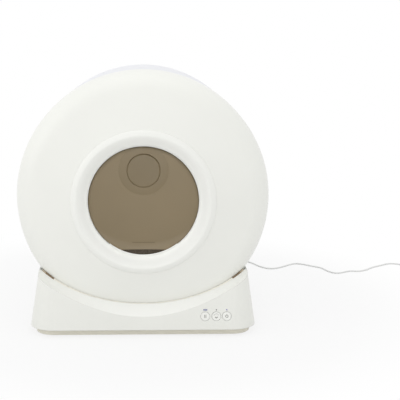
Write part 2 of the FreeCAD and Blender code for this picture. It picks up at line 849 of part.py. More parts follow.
def make_litter_mat():
    """Dark lining of the bowl's bottom, trimmed level, which climbs the back wall's corner."""
    body = new_body("litter_mat")
    sketch = new_sketch(body, "YZ_Plane", "litter_mat_section")
    outer = f"({liner_radius} - dims.seam)"
    inner = f"({outer} - dims.mat_thick)"
    back = f"({liner_depth} - dims.seam)"
    polygon(sketch, [
        (behind("(dims.front_length + 2)"), inner),
        (behind("(dims.front_length + 2)"), outer),
        (behind(back), outer),
        (behind(back), f"{mat_level} - 40"),
        (behind(f"({back} - dims.mat_thick)"), f"{mat_level} - 40"),
        (behind(f"({back} - dims.mat_thick)"), inner),
    ])
    revolve(body, sketch)
    fillet(body, "dims.liner_corner - dims.seam", circle_at(outer, behind(back)))
    fillet(body, "dims.liner_corner - dims.seam - dims.mat_thick",
           circle_at(inner, behind(f"({back} - dims.mat_thick)")))
    above = new_sketch(body, "XZ_Plane", "mat_trim")
    rectangle(above, f"0 - {liner_radius}", liner_radius,
              f"0 - {mat_level}", f"{liner_radius} + 5")
    pocket(body, above, f"4 * {liner_radius}", both=True)
    return on_axis("litter_mat", body)


def make_sifting_screen():
    """Slotted plate across the top of the bowl, trimmed to the bowl's wall."""
    body = new_body("sifting_screen")
    sketch = new_sketch(body, "YZ_Plane", "screen_section")
    rear = behind(f"({liner_depth} - dims.seam)")
    front = behind(screen_front_depth)
    polygon(sketch, [
        (front, screen_front_level),
        (rear, screen_rear_level),
        (rear, f"{screen_rear_level} + dims.screen_thick"),
        (front, f"{screen_front_level} + dims.screen_thick"),
    ])
    pad(body, sketch, f"2 * {liner_radius}", both=True)
    slots = new_sketch(body, "XY_Plane", "screen_slots", f"{screen_front_level} - 20")
    first = "(0 - (dims.slot_columns - 1) * dims.slot_pitch / 2)"
    for line in range(3):
        start = behind(f"({screen_front_depth} + 20 + {line} * dims.slot_pitch_along)")
        rectangle(slots, f"{first} - dims.slot_width / 2", f"{first} + dims.slot_width / 2",
                  start, f"{start} + dims.slot_length")
    row = pocket(body, slots, f"80 + {screen_rear_level} - {screen_front_level}", back=True)
    pattern = body.newObject("PartDesign::LinearPattern", "slot_row")
    pattern.Originals = [row]
    pattern.Direction = (slots, ["H_Axis"])
    bind(pattern, "Length", "(dims.slot_columns - 1) * dims.slot_pitch")
    bind(pattern, "Occurrences", "dims.slot_columns")
    body.Tip = pattern
    trimmed = doc.addObject("Part::Common", "screen_in_bowl")
    trimmed.Base = body
    trimmed.Tool = bowl_space()
    return on_axis("sifting_screen", trimmed)


def bowl_space():
    """The inside of the bowl, a seam's width clear of its wall and rounded back corner."""
    body = new_body("bowl_space")
    sketch = new_sketch(body, "YZ_Plane", "bowl_space_section")
    radius = f"({liner_radius} - dims.seam)"
    back = behind(f"({liner_depth} - dims.seam)")
    rectangle(sketch, behind(front_cone_end), back, "0", radius)
    revolve(body, sketch)
    fillet(body, "dims.liner_corner - dims.seam", circle_at(radius, back))
    return body


def make_port_flap():
    """Flap behind the waste port, hanging from a barrel on its hinge pin."""
    body = new_body("port_flap")
    sketch = new_sketch(body, "YZ_Plane", "flap_section")
    front = behind(f"({liner_depth} + dims.liner_wall + 0.5)")
    rectangle(sketch, front, f"{front} + dims.flap_thick", f"{port_low} - dims.flap_lap",
              hinge_level)
    pad(body, sketch, "2 * (dims.port_half + dims.flap_lap)", both=True)
    barrel = new_sketch(body, "YZ_Plane", "flap_barrel")
    circle(barrel, hinge_along, hinge_level, "dims.knuckle_radius")
    pad(body, barrel, "2 * (dims.port_half + dims.flap_lap)", both=True)
    bore = new_sketch(body, "YZ_Plane", "flap_bore")
    circle(bore, hinge_along, hinge_level, "dims.hinge_radius + dims.shaft_play")
    pocket(body, bore, "2 * (dims.port_half + dims.flap_lap)", both=True)
    return on_axis("port_flap", body)


def make_flap_pin():
    length = "(2 * (dims.port_half + dims.flap_lap + dims.seam + dims.ear_width))"
    item = rod("flap_pin", "dims.hinge_radius", length, f"0 - {length} / 2", hinge_along,
               f"{axis_height} + {hinge_level}", ALONG_X)
    return keep("flap_pin", item)


def make_deodoriser():
    """Round cap that twists onto the boss, and the scented puck inside it."""
    body = new_body("deodoriser_cap")
    sketch = new_sketch(body, "YZ_Plane", "cap_section")
    top = f"({liner_depth} - dims.cap_proud)"
    inside = f"({top} + dims.cap_wall)"
    skirt = "(dims.cap_radius - dims.cap_wall)"
    hem = f"({liner_depth} - dims.seam)"
    polygon(sketch, [
        (behind(top), "0"),
        (behind(top), "dims.cap_radius"),
        (behind(hem), "dims.cap_radius"),
        (behind(hem), skirt),
        (behind(inside), skirt),
        (behind(inside), "0"),
    ])
    revolve(body, sketch)
    fillet(body, "dims.cap_round", circle_at("dims.cap_radius", behind(top)))
    hook = new_sketch(body, "YZ_Plane", "cap_lug")
    hook_start = f"({liner_depth} - dims.boss_height + 2 + dims.seam)"
    rectangle(hook, behind(hook_start), behind(f"({hook_start} + 2)"),
              "dims.boss_radius + dims.seam", f"{skirt} + 1")
    hooks = revolve(body, hook, "dims.lug_angle", both=True)
    round_about(body, [hooks], "3")
    on_axis("deodoriser_cap", body)

    puck = rod("deodoriser_puck", "dims.boss_radius - dims.boss_wall - dims.seam", "dims.puck_height",
               along=behind(f"({liner_depth} - dims.puck_height)"), up=axis_height,
               rotation=ALONG_Y)
    keep("deodoriser_puck", puck)


def make_waste_bin():
    """Half-round bin, open at the top and closed behind by its face."""
    body = new_body("waste_bin")
    start = f"0 - {behind(bin_start)}"
    sketch = new_sketch(body, "XZ_Plane", "bin_outline", start)
    chord_shape(sketch, bin_radius, "dims.bin_top")
    pad(body, sketch, f"dims.back_depth + dims.seam - {bin_start}", back=True)
    hollow = new_sketch(body, "XZ_Plane", "bin_hollow", f"{start} - dims.bin_wall")
    chord_shape(hollow, f"{bin_radius} - dims.bin_wall", "dims.bin_top + 10")
    pocket(body, hollow, f"dims.back_depth - {bin_start}")
    on_axis("waste_bin", body)

    face = new_body("waste_bin_face")
    front = f"0 - {behind('(dims.back_depth + dims.seam)')}"
    outline = new_sketch(face, "XZ_Plane", "face_outline", front)
    chord_shape(outline, f"{bin_radius} + dims.bin_face_lap", "dims.bin_top + dims.bin_face_lap")
    pad(face, outline, "dims.bin_face_depth", back=True, taper="0 - dims.bin_face_draft")
    rear = behind("(dims.back_depth + dims.seam + dims.bin_face_depth)")
    fillet(face, "dims.bin_face_round", edges_in(y=(value(rear), value(rear))))
    hollow = new_sketch(face, "XZ_Plane", "face_hollow", front)
    chord_shape(hollow, f"{bin_radius} - dims.bin_wall", "dims.grip_low - dims.bin_face_wall")
    pocket(face, hollow, "dims.bin_face_depth - dims.bin_face_wall", taper="0 - dims.bin_face_draft")
    grip = new_sketch(face, "XZ_Plane", "face_grip", f"0 - {rear}")
    rectangle(grip, "0 - dims.grip_half", "dims.grip_half", "dims.grip_low",
              "dims.grip_low + dims.grip_height")
    pocket(face, grip, "dims.grip_depth", back=True)
    on_axis("waste_bin_face", face)


def make_drum_screws():
    """Screws through the two flanges, the bowl's flange and the gear."""
    body = new_body("drum_screws")
    shank = new_sketch(body, "XZ_Plane", "drum_screw_shank",
                       f"0 - {behind('(dims.front_length - dims.wall)')}")
    circle(shank, "0", drum_screw_circle, "dims.screw_radius")
    shanks = pad(body, shank, f"{stack_back} - dims.front_length + dims.wall", back=True)
    head = new_sketch(body, "XZ_Plane", "drum_screw_head",
                      f"0 - {behind('(dims.front_length - dims.wall)')}")
    circle(head, "0", drum_screw_circle, "dims.screw_head_radius")
    heads = pad(body, head, "dims.screw_head_height")
    round_about(body, [shanks, heads], "dims.drum_screw_count")
    return on_axis("drum_screws", body)


def make_position_magnet():
    """Magnet behind the rear shell's front flange, read from the base."""
    item = rod("position_magnet", "dims.magnet_radius", "dims.magnet_height", along=behind(stack_back),
               up=f"{axis_height} - {drum_screw_circle} - dims.magnet_radius - dims.screw_radius",
               rotation=ALONG_Y)
    return keep("position_magnet", item)


# Base

def cavity(name, gap, rear_wall):
    """The space that the drum turns in, as a solid of revolution."""
    body = new_body(name)
    sketch = new_sketch(body, "YZ_Plane", f"{name}_section")
    radius = f"(dims.drum_radius + {gap})"
    shoulder = behind(face_line(radius, f"0 - ({gap})"))
    rear = f"({cradle_rear} + {rear_wall})"
    shrink = f"({gap} - dims.cradle_gap)"
    polygon(sketch, [
        (behind(face_line("0", f"0 - ({gap})")), "0"),
        (shoulder, radius),
        (rear, radius),
        (rear, f"{rear_radius} + {shrink}"),
        (f"{base_rear} + 5", f"{rear_cut_small} + {shrink}"),
        (f"{base_rear} + 5", "0"),
    ])
    revolve(body, sketch)
    fillet(body, f"dims.front_corner + {gap}", circle_at(radius, shoulder))
    return place(body, up=axis_height)


def band_cutter(name, drop):
    """Leaning cone that leaves the broad sloping rim along the base's front edge."""
    rings = []
    for label, distance in (("front", "(0 - dims.band_ahead)"), ("rear", "dims.band_behind")):
        ring = doc.addObject("Part::Circle", f"{name}_{label}")
        radius = f"(dims.band_front_radius + {distance} * dims.band_spread)"
        level = f"(dims.band_front_level + {distance} * dims.band_rise - {drop})"
        bind(ring, "Radius", radius)
        place(ring, "0", f"{distance} - {base_front} + 4", f"{level} + {radius}", ALONG_Y)
        rings.append(ring)
    loft = doc.addObject("Part::Loft", name)
    loft.Sections = rings
    loft.Solid = True
    loft.Ruled = True
    return loft


def prism(name, inset, low, high, corner):
    """Drafted block on the base's outline, drawn in by an inset."""
    body = new_body(name)
    sketch = new_sketch(body, "XY_Plane", f"{name}_outline", low)
    rounded_rectangle(sketch, f"{inset} - {base_half}", f"{base_half} - {inset}",
                      f"{inset} - {base_front}", f"{base_rear} - {inset}", corner)
    pad(body, sketch, f"{high} - ({low})", taper="0 - dims.draft")
    return body


def on_face(name, radius, depth, length, across, level):
    """A rod square to the drafted front face, from a depth behind it outwards."""
    lean = FreeCAD.Rotation(Vector(1, 0, 0), value("90 - dims.draft"))
    item = rod(name, radius, length, across,
               f"{face_along(level)} + ({depth}) * cos(dims.draft)",
               f"{level} - ({depth}) * sin(dims.draft)", lean)
    bind(item, "Placement.Rotation.Angle", "90 - dims.draft")
    return item


def face_along(level):
    """The y of the base's front face at a height."""
    return f"(({level} - dims.base_bottom) * tan(dims.draft) - {base_front})"


roller_reach = f"({rear_radius} + dims.roller_radius + dims.seam)"
roller_across = f"({roller_reach} * sin(dims.roller_angle))"
roller_level = f"({axis_height} - {roller_reach} * cos(dims.roller_angle))"
cheek_span = "(dims.roller_width + 2 * dims.seam + 2 * dims.cheek_thick)"
pinion_reach = f"({gear_pitch} + {pinion_pitch} + dims.mesh_play / 2)"
pinion_across = f"({pinion_reach} * sin(dims.pinion_angle))"
pinion_level = f"({axis_height} - {pinion_reach} * cos(dims.pinion_angle))"
pinion_along = f"({behind(gear_front)} / 2 + {behind(gear_back)} / 2)"
pinion_tip = f"({pinion_pitch} + {gear_module})"
motor_across = f"({motor_reach} * sin(dims.motor_angle))"
motor_level = f"({axis_height} - {motor_reach} * cos(dims.motor_angle))"
floor_level = "(dims.plate_bottom + dims.plate_floor)"
BUTTONS = {"left": button_left, "middle": button_middle, "right": button_right}
CORNERS = {
    "front_left": ("(0 - 1)", roller_front),
    "front_right": ("1", roller_front),
    "rear_left": ("(0 - 1)", roller_rear),
    "rear_right": ("1", roller_rear),
}
POSTS = [
    (side, along)
    for side in (f"(0 - {post_across})", post_across)
    for along in (f"(0 - {post_front})", post_rear)
]
INDICATORS = {
    "indicator_left": (BUTTONS["left"], "2.6"),
    "indicator_middle": (BUTTONS["middle"], "1.2"),
    "indicator_right": (BUTTONS["right"], "1.4"),
}


def make_base_shell():
    """White cradle: drafted outside, hollow underneath, with a sloping band along its front."""
    outside = prism("base_outside", "0", "dims.base_bottom", base_top, "dims.base_corner")
    inside = prism("base_inside", "dims.wall", "dims.base_bottom", f"{base_top} + 5",
                   "dims.base_corner - dims.wall")
    pan = cavity("pan_under", "(dims.cradle_gap + dims.wall)", "dims.wall")
    hollow = cut("base_hollow", inside, [pan, band_cutter("band_under", "dims.wall / cos(40)")])
    shell = cut("base_walls", outside, [hollow])
    posts = []
    for number, (across, along) in enumerate(POSTS):
        posts.append(rod(f"post_{number}", "dims.post_radius", f"{base_top} - {floor_level}",
                         across, along, floor_level))
    for side in (-1, 1):
        posts.append(on_face(f"board_post_{side}", "3", "dims.board_depth", "dims.board_depth - 1",
                             f"{button_middle} + {side} * 40", "dims.button_level"))
    # the lowest strip of the pan reaches below the shell's edge
    strip = doc.addObject("Part::Common", "pan_strip")
    strip.Base = cavity("pan_below", "(dims.cradle_gap + dims.wall)", "dims.wall")
    strip.Tool = block("pan_strip_space", ("0 - dims.pan_strip_half", "dims.pan_strip_half"),
                       (f"dims.wall - {base_front}", f"{cradle_rear} + dims.wall"),
                       (floor_level, "dims.base_bottom + dims.wall"))
    body = join("base_with_posts", [shell, strip] + posts)
    tools = [cavity("drum_space", "dims.cradle_gap", "0"), band_cutter("band", "0")]
    half_window = "(dims.roller_radius + dims.window_margin)"
    for name, (side, along) in CORNERS.items():
        middle = f"{side} * {roller_across}"
        tools.append(block(f"window_{name}", (f"{middle} - {half_window}", f"{middle} + {half_window}"),
                           (f"{along} - {cheek_span} / 2 - 2", f"{along} + {cheek_span} / 2 + 2"),
                           (f"{roller_level} - 25", f"{roller_level} + 30")))
    tools.append(block("pinion_window", (f"{pinion_across} - {pinion_tip} - 3", f"{pinion_across} + 28"),
                       (behind("(dims.front_length - 1)"), behind(f"({gear_back} + 1)")),
                       ("20", f"{pinion_level} + {pinion_tip} + 6")))
    for number, (across, along) in enumerate(POSTS):
        tools.append(rod(f"post_bore_{number}", "dims.screw_radius", "14", across, along,
                         f"{floor_level} - 1"))
    tools.append(block("socket_hole", socket_x("0.1"), (f"{base_rear} - 14", f"{base_rear} + 6"),
                       socket_z("0.1")))
    shell = cut("base_body", body, tools)
    for name, across in BUTTONS.items():
        hole = on_face(f"button_hole_{name}", "dims.button_radius + dims.button_gap",
                       "dims.wall + 1", "dims.wall + 11", across, "dims.button_level")
        seat = on_face(f"button_seat_{name}", "dims.button_radius + dims.button_gap + 1.4",
                       "dims.wall + 6", "6", across, "dims.button_level")
        shell = cut(f"shell_for_{name}", shell, [join(f"button_space_{name}", [hole, seat])])
    pipes = []
    for name, (across, radius) in INDICATORS.items():
        pipes.append(on_face(f"hole_{name}", radius, "dims.wall + 3", "dims.wall + 13", across,
                             "dims.indicator_level"))
    return keep("base_shell", cut("base_shell", shell, pipes))


def socket_x(gap):
    return (f"{socket_across} - dims.socket_half_width - {gap}",
            f"{socket_across} + dims.socket_half_width + {gap}")


def socket_z(gap):
    return (f"dims.socket_level - dims.socket_half_height - {gap}",
            f"dims.socket_level + dims.socket_half_height + {gap}")


def make_base_plate():
    """Tray that closes the base from below, with a flange inside the shell's edge."""
    body = new_body("base_plate")
    inset = "dims.plate_inset"
    sketch = new_sketch(body, "XY_Plane", "plinth", "dims.plate_bottom")
    rounded_rectangle(sketch, f"{inset} - {base_half}", f"{base_half} - {inset}",
                      f"{inset} - {base_front}", f"{base_rear} - {inset}",
                      f"dims.base_corner - {inset}")
    pad(body, sketch, "dims.base_bottom - dims.plate_bottom + dims.wall")
    lap = "(dims.wall + dims.seam + dims.wall * tan(dims.draft))"
    flange = new_sketch(body, "XY_Plane", "plate_flange", "dims.base_bottom")
    rounded_rectangle(flange, f"{lap} - {base_half}", f"{base_half} - {lap}",
                      f"{lap} - {base_front}", f"{base_rear} - {lap}",
                      f"dims.base_corner - {lap}")
    pad(body, flange, "dims.wall")
    deep = f"({inset} + dims.wall)"
    tray = new_sketch(body, "XY_Plane", "plate_tray", floor_level)
    rounded_rectangle(tray, f"{deep} - {base_half}", f"{base_half} - {deep}",
                      f"{deep} - {base_front}", f"{base_rear} - {deep}",
                      f"dims.base_corner - {deep}")
    pocket(body, tray, "20", back=True)
    holes = new_sketch(body, "XY_Plane", "plate_holes", floor_level)
    for across, along in POSTS:
        circle(holes, across, along, "dims.screw_head_radius + 0.2")
    pocket(body, holes, "10")
    stands = new_sketch(body, "XY_Plane", "board_stands", floor_level)
    for across in ("0 - 205", "0 - 160"):
        for along in ("0 - 45", "40"):
            circle(stands, across, along, "3.5")
    pad(body, stands, "10")
    return keep("base_plate", body)


def make_feet():
    """Rubber feet under the plate and the load cells above them."""
    feet = []
    cells = []
    for across in (f"(0 - {foot_across})", foot_across):
        for along in (f"(0 - {foot_front})", foot_rear):
            feet.append(rod("foot", "dims.foot_radius", "dims.plate_bottom", across, along, "0"))
            cells.append(block("load_cell",
                               (f"{across} - dims.load_cell_length / 2", f"{across} + dims.load_cell_length / 2"),
                               (f"{along} - dims.load_cell_width / 2", f"{along} + dims.load_cell_width / 2"),
                               (floor_level, f"{floor_level} + dims.load_cell_height")))
    keep("rubber_feet", join("rubber_feet", feet))
    keep("load_cells", join("load_cells", cells))


def make_base_screws():
    """Screws from below into the shell's posts."""
    screws = []
    for across, along in POSTS:
        head = rod("base_screw_head", "dims.screw_head_radius", "dims.screw_head_height", across, along,
                   f"{floor_level} - dims.screw_head_height")
        shank = rod("base_screw_shank", "dims.screw_radius", "12", across, along, floor_level)
        screws.append(join("base_screw", [head, shank]))
    return keep("base_screws", join("base_screws", screws))


def make_rollers():
    """Four rollers that carry the drum, each on an axle in its own bracket."""
    for name, (side, along) in CORNERS.items():
        middle = f"({side} * {roller_across})"
        body = new_body(f"roller_bracket_{name}")
        cheek = new_sketch(body, "XZ_Plane", f"cheek_{name}", f"0 - ({along})")
        rise = f"({roller_level} - {floor_level})"
        half = "dims.cheek_half"
        polygon(cheek, [
            (f"0 - 2 * {half}", "0"),
            (f"2 * {half}", "0"),
            (f"2 * {half}", "dims.bracket_foot"),
            (half, f"dims.bracket_foot + {half}"),
            (half, rise),
            (f"{half} / 2", f"{rise} + {half} * 0.8"),
            (f"0 - {half} / 2", f"{rise} + {half} * 0.8"),
            (f"0 - {half}", rise),
            (f"0 - {half}", f"dims.bracket_foot + {half}"),
            (f"0 - 2 * {half}", "dims.bracket_foot"),
        ])
        pad(body, cheek, cheek_span, both=True)
        slot = new_sketch(body, "XZ_Plane", f"slot_{name}", f"0 - ({along})")
        rectangle(slot, f"0 - 3 * {half}", f"3 * {half}", "dims.bracket_foot", f"{rise} + {half} * 2")
        pocket(body, slot, f"{cheek_span} - 2 * dims.cheek_thick", both=True)
        bore = new_sketch(body, "XZ_Plane", f"bore_{name}", f"0 - ({along})")
        circle(bore, "0", rise, "dims.axle_radius")
        pocket(body, bore, cheek_span, both=True)
        keep(f"roller_bracket_{name}", place(body, middle, "0", floor_level))

        axle = rod(f"roller_axle_{name}", "dims.axle_radius", cheek_span, middle,
                   f"{along} - {cheek_span} / 2", roller_level, ALONG_Y)
        keep(f"roller_axle_{name}", axle)

        roller = new_body(f"roller_{name}")
        tread = new_sketch(roller, "YZ_Plane", f"tread_{name}")
        width = "dims.roller_width"
        bore_radius = "(dims.axle_radius + dims.axle_play)"
        rim = "(dims.roller_radius - 1)"
        polygon(tread, [
            (f"0 - {width} / 2", bore_radius),
            (f"0 - {width} / 2", rim),
            (f"1 - {width} / 2", "dims.roller_radius"),
            (f"{width} / 2 - 1", "dims.roller_radius"),
            (f"{width} / 2", rim),
            (f"{width} / 2", bore_radius),
        ])
        revolve(roller, tread)
        keep(f"roller_{name}", place(roller, middle, along, roller_level))


def make_drive():
    """Pinion in mesh with the drum's ring, its shaft, gearbox and motor."""
    module = value(gear_module)
    teeth = int(value("dims.pinion_teeth"))
    width = value("dims.pinion_width")
    gear = Part.Face(gear_outline(teeth, module, value("dims.mesh_play"))).extrude(Vector(0, width, 0))
    gear = gear.cut(Part.makeCylinder(value("dims.shaft_radius"), width, Vector(0, 0, 0), Vector(0, 1, 0)))
    pinion = solid_piece("drive_pinion", gear)
    mesh_turn = pinion_phase()
    turned = FreeCAD.Rotation(Vector(0, 1, 0), mesh_turn)
    place(pinion, pinion_across, f"{pinion_along} - dims.pinion_width / 2", pinion_level, turned)
    keep("drive_pinion", pinion)

    bearing = "8"
    shaft_start = f"({pinion_along} - dims.pinion_width / 2)"
    shaft = rod("output_shaft", "dims.shaft_radius", f"{gearbox_start} + {bearing} - {shaft_start} - dims.seam",
                pinion_across, shaft_start, pinion_level, ALONG_Y)
    keep("output_shaft", shaft)

    nose = rod("gearbox_nose", "dims.gearbox_nose", "dims.gearbox_length", pinion_across,
               gearbox_start, pinion_level, ALONG_Y)
    drum_end = rod("gearbox_case", "dims.gearbox_round", "dims.gearbox_length - 4", motor_across,
                   f"{gearbox_start} + 4", motor_level, ALONG_Y)
    foot = block("gearbox_foot", (f"{motor_across} - 14", f"{motor_across} + 14"),
                 (f"{gearbox_start} + 4", f"{gearbox_start} + dims.gearbox_length"),
                 (floor_level, motor_level))
    bore = rod("gearbox_bore", "dims.shaft_radius + dims.shaft_play", f"{bearing} + 1", pinion_across,
               f"{gearbox_start} - 1", pinion_level, ALONG_Y)
    keep("gearbox", cut("gearbox", join("gearbox_body", [nose, drum_end, foot]), [bore]))

    can = rod("motor_can", "dims.motor_radius", "dims.motor_length", motor_across,
              f"{gearbox_start} + dims.gearbox_length", motor_level, ALONG_Y)
    cap = rod("motor_cap", "dims.motor_radius / 3", "3", motor_across,
              f"{gearbox_start} + dims.gearbox_length + dims.motor_length", motor_level, ALONG_Y)
    keep("motor", join("motor", [can, cap]))


def pinion_phase():
    """The turn about Y that sets a gap of the pinion against a tooth of the ring, in degrees."""
    ring_step = 360 / value("dims.ring_teeth")
    pinion_step = 360 / value("dims.pinion_teeth")
    # both outlines have a tooth at straight up, and angles run from +Z towards +X
    contact = 180 - value("dims.pinion_angle")
    past_tooth = contact % ring_step
    opposite = contact + 180
    return opposite + past_tooth * pinion_step / ring_step + pinion_step / 2


def make_boards():
    """Main board on its stands, control board behind the buttons and the position sensor."""
    top = f"({floor_level} + 10)"
    board_top = f"({top} + dims.board_thick)"
    board = block("board", ("0 - 212", "0 - 152"), ("0 - 52", "48"), (top, board_top))
    relay = block("relay", ("0 - 205", "0 - 187"), ("0 - 30", "0 - 14"), (board_top, f"{board_top} + 14"))
    chip = block("chip", ("0 - 186", "0 - 172"), ("2", "16"), (board_top, f"{board_top} + 2"))
    jack = block("jack", ("0 - 208", "0 - 186"), ("28", "38"), (board_top, f"{board_top} + 9"))
    can = rod("capacitor", "5", "14", "0 - 178", "0 - 25", board_top)
    keep("main_board", join("main_board", [board, relay, chip, jack, can]))

    strip = doc.addObject("Part::Box", "control_strip")
    bind(strip, "Length", "90")
    bind(strip, "Width", "24")
    bind(strip, "Height", "dims.board_thick")
    lean = FreeCAD.Rotation(Vector(1, 0, 0), value("90 - dims.draft"))
    behind_face = "(dims.board_depth + dims.board_thick)"
    low = "(dims.button_level - 12 * cos(dims.draft))"
    place(strip, f"{button_middle} - 45",
          f"{face_along('dims.button_level')} + {behind_face} * cos(dims.draft) - 12 * sin(dims.draft)",
          f"{low} - {behind_face} * sin(dims.draft)", lean)
    bind(strip, "Placement.Rotation.Angle", "90 - dims.draft")
    switches = [strip]
    for name, across in BUTTONS.items():
        switches.append(on_face(f"switch_{name}", "3.5", "dims.board_depth", "3.5", across,
                                "dims.button_level"))
        switches.append(on_face(f"plunger_{name}", "1.7", "dims.board_depth - 3.5", "1.2", across,
                                "dims.button_level"))
    keep("control_board", join("control_board", switches))

    sensor = block("hall_sensor", ("0 - 7", "7"), (behind(f"({stack_back} - 4)"), behind(f"({stack_back} + 6)")),
                   (floor_level, f"{floor_level} + 3"))
    keep("hall_sensor", sensor)


def make_controls():
    """Round buttons that press in along the face's normal, and the light pipes above them."""
    behind_wall = "(dims.wall + dims.seam)"
    for name, across in BUTTONS.items():
        cap = on_face(f"cap_{name}", "dims.button_radius", behind_wall, f"{behind_wall} + dims.button_proud",
                      across, "dims.button_level")
        rim = on_face(f"rim_{name}", "dims.button_radius + dims.button_gap + 1", f"{behind_wall} + 1", "1",
                      across, "dims.button_level")
        stem = on_face(f"stem_{name}", "2", f"{behind_wall} + 1 + 2.6", "2.6", across, "dims.button_level")
        keep(f"button_{name}", join(f"button_{name}", [cap, rim, stem]))
    for name, (across, radius) in INDICATORS.items():
        keep(name, on_face(name, radius, "dims.wall + 2", "dims.wall + 2", across, "dims.indicator_level"))


def make_inlet():
    """Power inlet in the rear wall, and the plug pushed into it."""
    body = block("socket_body", socket_x("0"), (socket_front, socket_rear), socket_z("0"))
    bore = rod("socket_bore", "dims.socket_bore", "10.5", socket_across, f"{socket_rear} - 10",
               "dims.socket_level", ALONG_Y)
    pin = rod("socket_pin", "1", "9.5", socket_across, f"{socket_rear} - 10.2",
              "dims.socket_level", ALONG_Y)
    keep("dc_socket", join("dc_socket", [cut("socket_cup", body, [bore]), pin]))

    barrel = rod("plug_barrel", "dims.plug_barrel", "dims.plug_barrel_length", socket_across,
                 f"{socket_rear} - dims.plug_barrel_length", "dims.socket_level", ALONG_Y)
    hole = rod("plug_hole", "1.3", "dims.plug_barrel_length + 1", socket_across,
               f"{socket_rear} - dims.plug_barrel_length - 1", "dims.socket_level", ALONG_Y)
    grip = rod("plug_grip", "dims.plug_radius", "dims.plug_length", socket_across,
               socket_rear, "dims.socket_level", ALONG_Y)
    relief = doc.addObject("Part::Cone", "plug_relief")
    bind(relief, "Radius1", "dims.plug_radius - 1")
    bind(relief, "Radius2", "dims.cord_radius + 0.6")
    bind(relief, "Height", "dims.relief_length")
    place(relief, socket_across, f"{socket_rear} + dims.plug_length", "dims.socket_level", ALONG_Y)
    keep("dc_plug", cut("dc_plug", join("plug_body", [barrel, grip, relief]), [hole]))


# Lead: its floor route is chosen by hand, in millimetres

cord_level = value("dims.cord_radius")
cord_start = Vector(value(socket_across),
                    value(f"{socket_rear} + dims.plug_length + dims.relief_length"),
                    value("dims.socket_level"))
coil_centre = Vector(value("dims.coil_across"), value("dims.coil_along"), value("dims.coil_lift"))
coil_pitch = 2 * value("dims.cord_radius") + value("dims.coil_gap")
coil_outer = value("dims.coil_mid_radius") + coil_pitch * value("dims.coil_turns") / 4
coil_entry = coil_centre + Vector(0, -coil_outer, 0)

CORD_ROUTE = [
    cord_start,
    Vector(cord_start.x, cord_start.y + 9, cord_start.z),
    Vector(151, 274, 27),
    Vector(155, 288, 17),
    Vector(161, 303, 7),
    Vector(171, 320, cord_level),
    Vector(189, 337, cord_level),
    Vector(213, 349, cord_level),
    Vector(239, 354, cord_level),
    Vector(262, 360, cord_level),
    Vector(281, 349, cord_level),
    Vector(294, 326, cord_level),
    Vector(306, 298, cord_level),
    Vector(326, 276, cord_level),
    Vector(351, 281, cord_level),
    Vector(378, 308, cord_level),
    Vector(403, 331, cord_level),
    Vector(424, 322, cord_level),
    Vector(443, 303, cord_level),
    Vector(466, 286, cord_level),
    Vector(473, 263, cord_level),
    Vector(484, 238, cord_level),
    Vector(501, 228, cord_level),
    Vector(520, 241, cord_level),
    Vector(538, 252, cord_level),
    Vector(558, 246, cord_level),
    Vector(582, 260, cord_level),
    Vector(603, 287, cord_level),
    Vector(630, 305, cord_level),
    Vector(657, 327, cord_level),
    Vector(680, 320, cord_level),
    Vector(694, 301, cord_level + 0.4),
    Vector(711, coil_entry.y, coil_entry.z),
    coil_entry,
]


def cord_path(points):
    """Straight runs joined by tangent arcs, and the arcs' radii."""
    edges = []
    radii = []
    start = points[0]
    for before, corner, after in zip(points, points[1:], points[2:]):
        into = (corner - before).normalize()
        out = (after - corner).normalize()
        turn = into.getAngle(out)
        reach = 0.45 * min((corner - before).Length, (after - corner).Length)
        radius = reach / math.tan(turn / 2)
        first = corner - into * reach
        last = corner + out * reach
        inward = (out - into).normalize()
        middle = corner + inward * (radius / math.cos(turn / 2) - radius)
        edges.append(Part.LineSegment(start, first).toShape())
        edges.append(Part.Arc(first, middle, last).toShape())
        radii.append(radius)
        start = last
    edges.append(Part.LineSegment(start, points[-1]).toShape())
    return Part.Wire(edges), radii


def tube(path, radius):
    """A round tube along a wire."""
    start = path.Edges[0].valueAt(path.Edges[0].FirstParameter)
    heading = path.Edges[0].tangentAt(path.Edges[0].FirstParameter)
    ring = Part.Wire([Part.Circle(start, heading, radius).toShape()])
    return path.makePipeShell([ring], True, False)


def arc_from(start, heading, end):
    """The arc that leaves a point along a heading and reaches another point."""
    chord = end - start
    across = chord - heading * chord.dot(heading)
    if across.Length < 1e-6:
        return Part.LineSegment(start, end).toShape()
    radius = chord.Length ** 2 / (2 * across.Length)
    centre = start + across.normalize() * radius
    middle = (start + end) * 0.5 - centre
    return Part.Arc(start, centre + middle.normalize() * radius, end).toShape()


def biarc(start, heading, end, leaving):
    """Two tangent arcs between two points with given headings."""
    chord = end - start
    total = heading + leaving
    spread = 2 * (1 - heading.dot(leaving))
    reach = (math.sqrt(chord.dot(total) ** 2 + spread * chord.dot(chord)) - chord.dot(total)) / spread
    joint = (start + end + (heading - leaving) * reach) * 0.5
    back = arc_from(end, leaving * -1, joint)
    return [arc_from(start, heading, joint), back]


def coil_point(turned):
    """A point of the coil and its heading, after so many turns from the entry."""
    turns = value("dims.coil_turns")
    half = turns / 2
    layer_rise = coil_pitch
    inward = min(turned, turns - turned)
    radius = coil_outer - coil_pitch * inward
    climb = min(max((turned - half + 0.25) / 0.5, 0), 1)
    angle = -math.pi / 2 + 2 * math.pi * turned
    flat = Vector(math.cos(angle), math.sin(angle), 0)
    spot = coil_centre + flat * radius + Vector(0, 0, layer_rise * climb)
    return spot


def coil_heading(turned):
    step = 1e-4
    turns = value("dims.coil_turns")
    if turned <= 0:
        return Vector(1, 0, 0)
    if turned >= turns:
        angle = -math.pi / 2 + 2 * math.pi * turned
        return Vector(-math.sin(angle), math.cos(angle), 0)
    return (coil_point(turned + step) - coil_point(turned - step)).normalize()


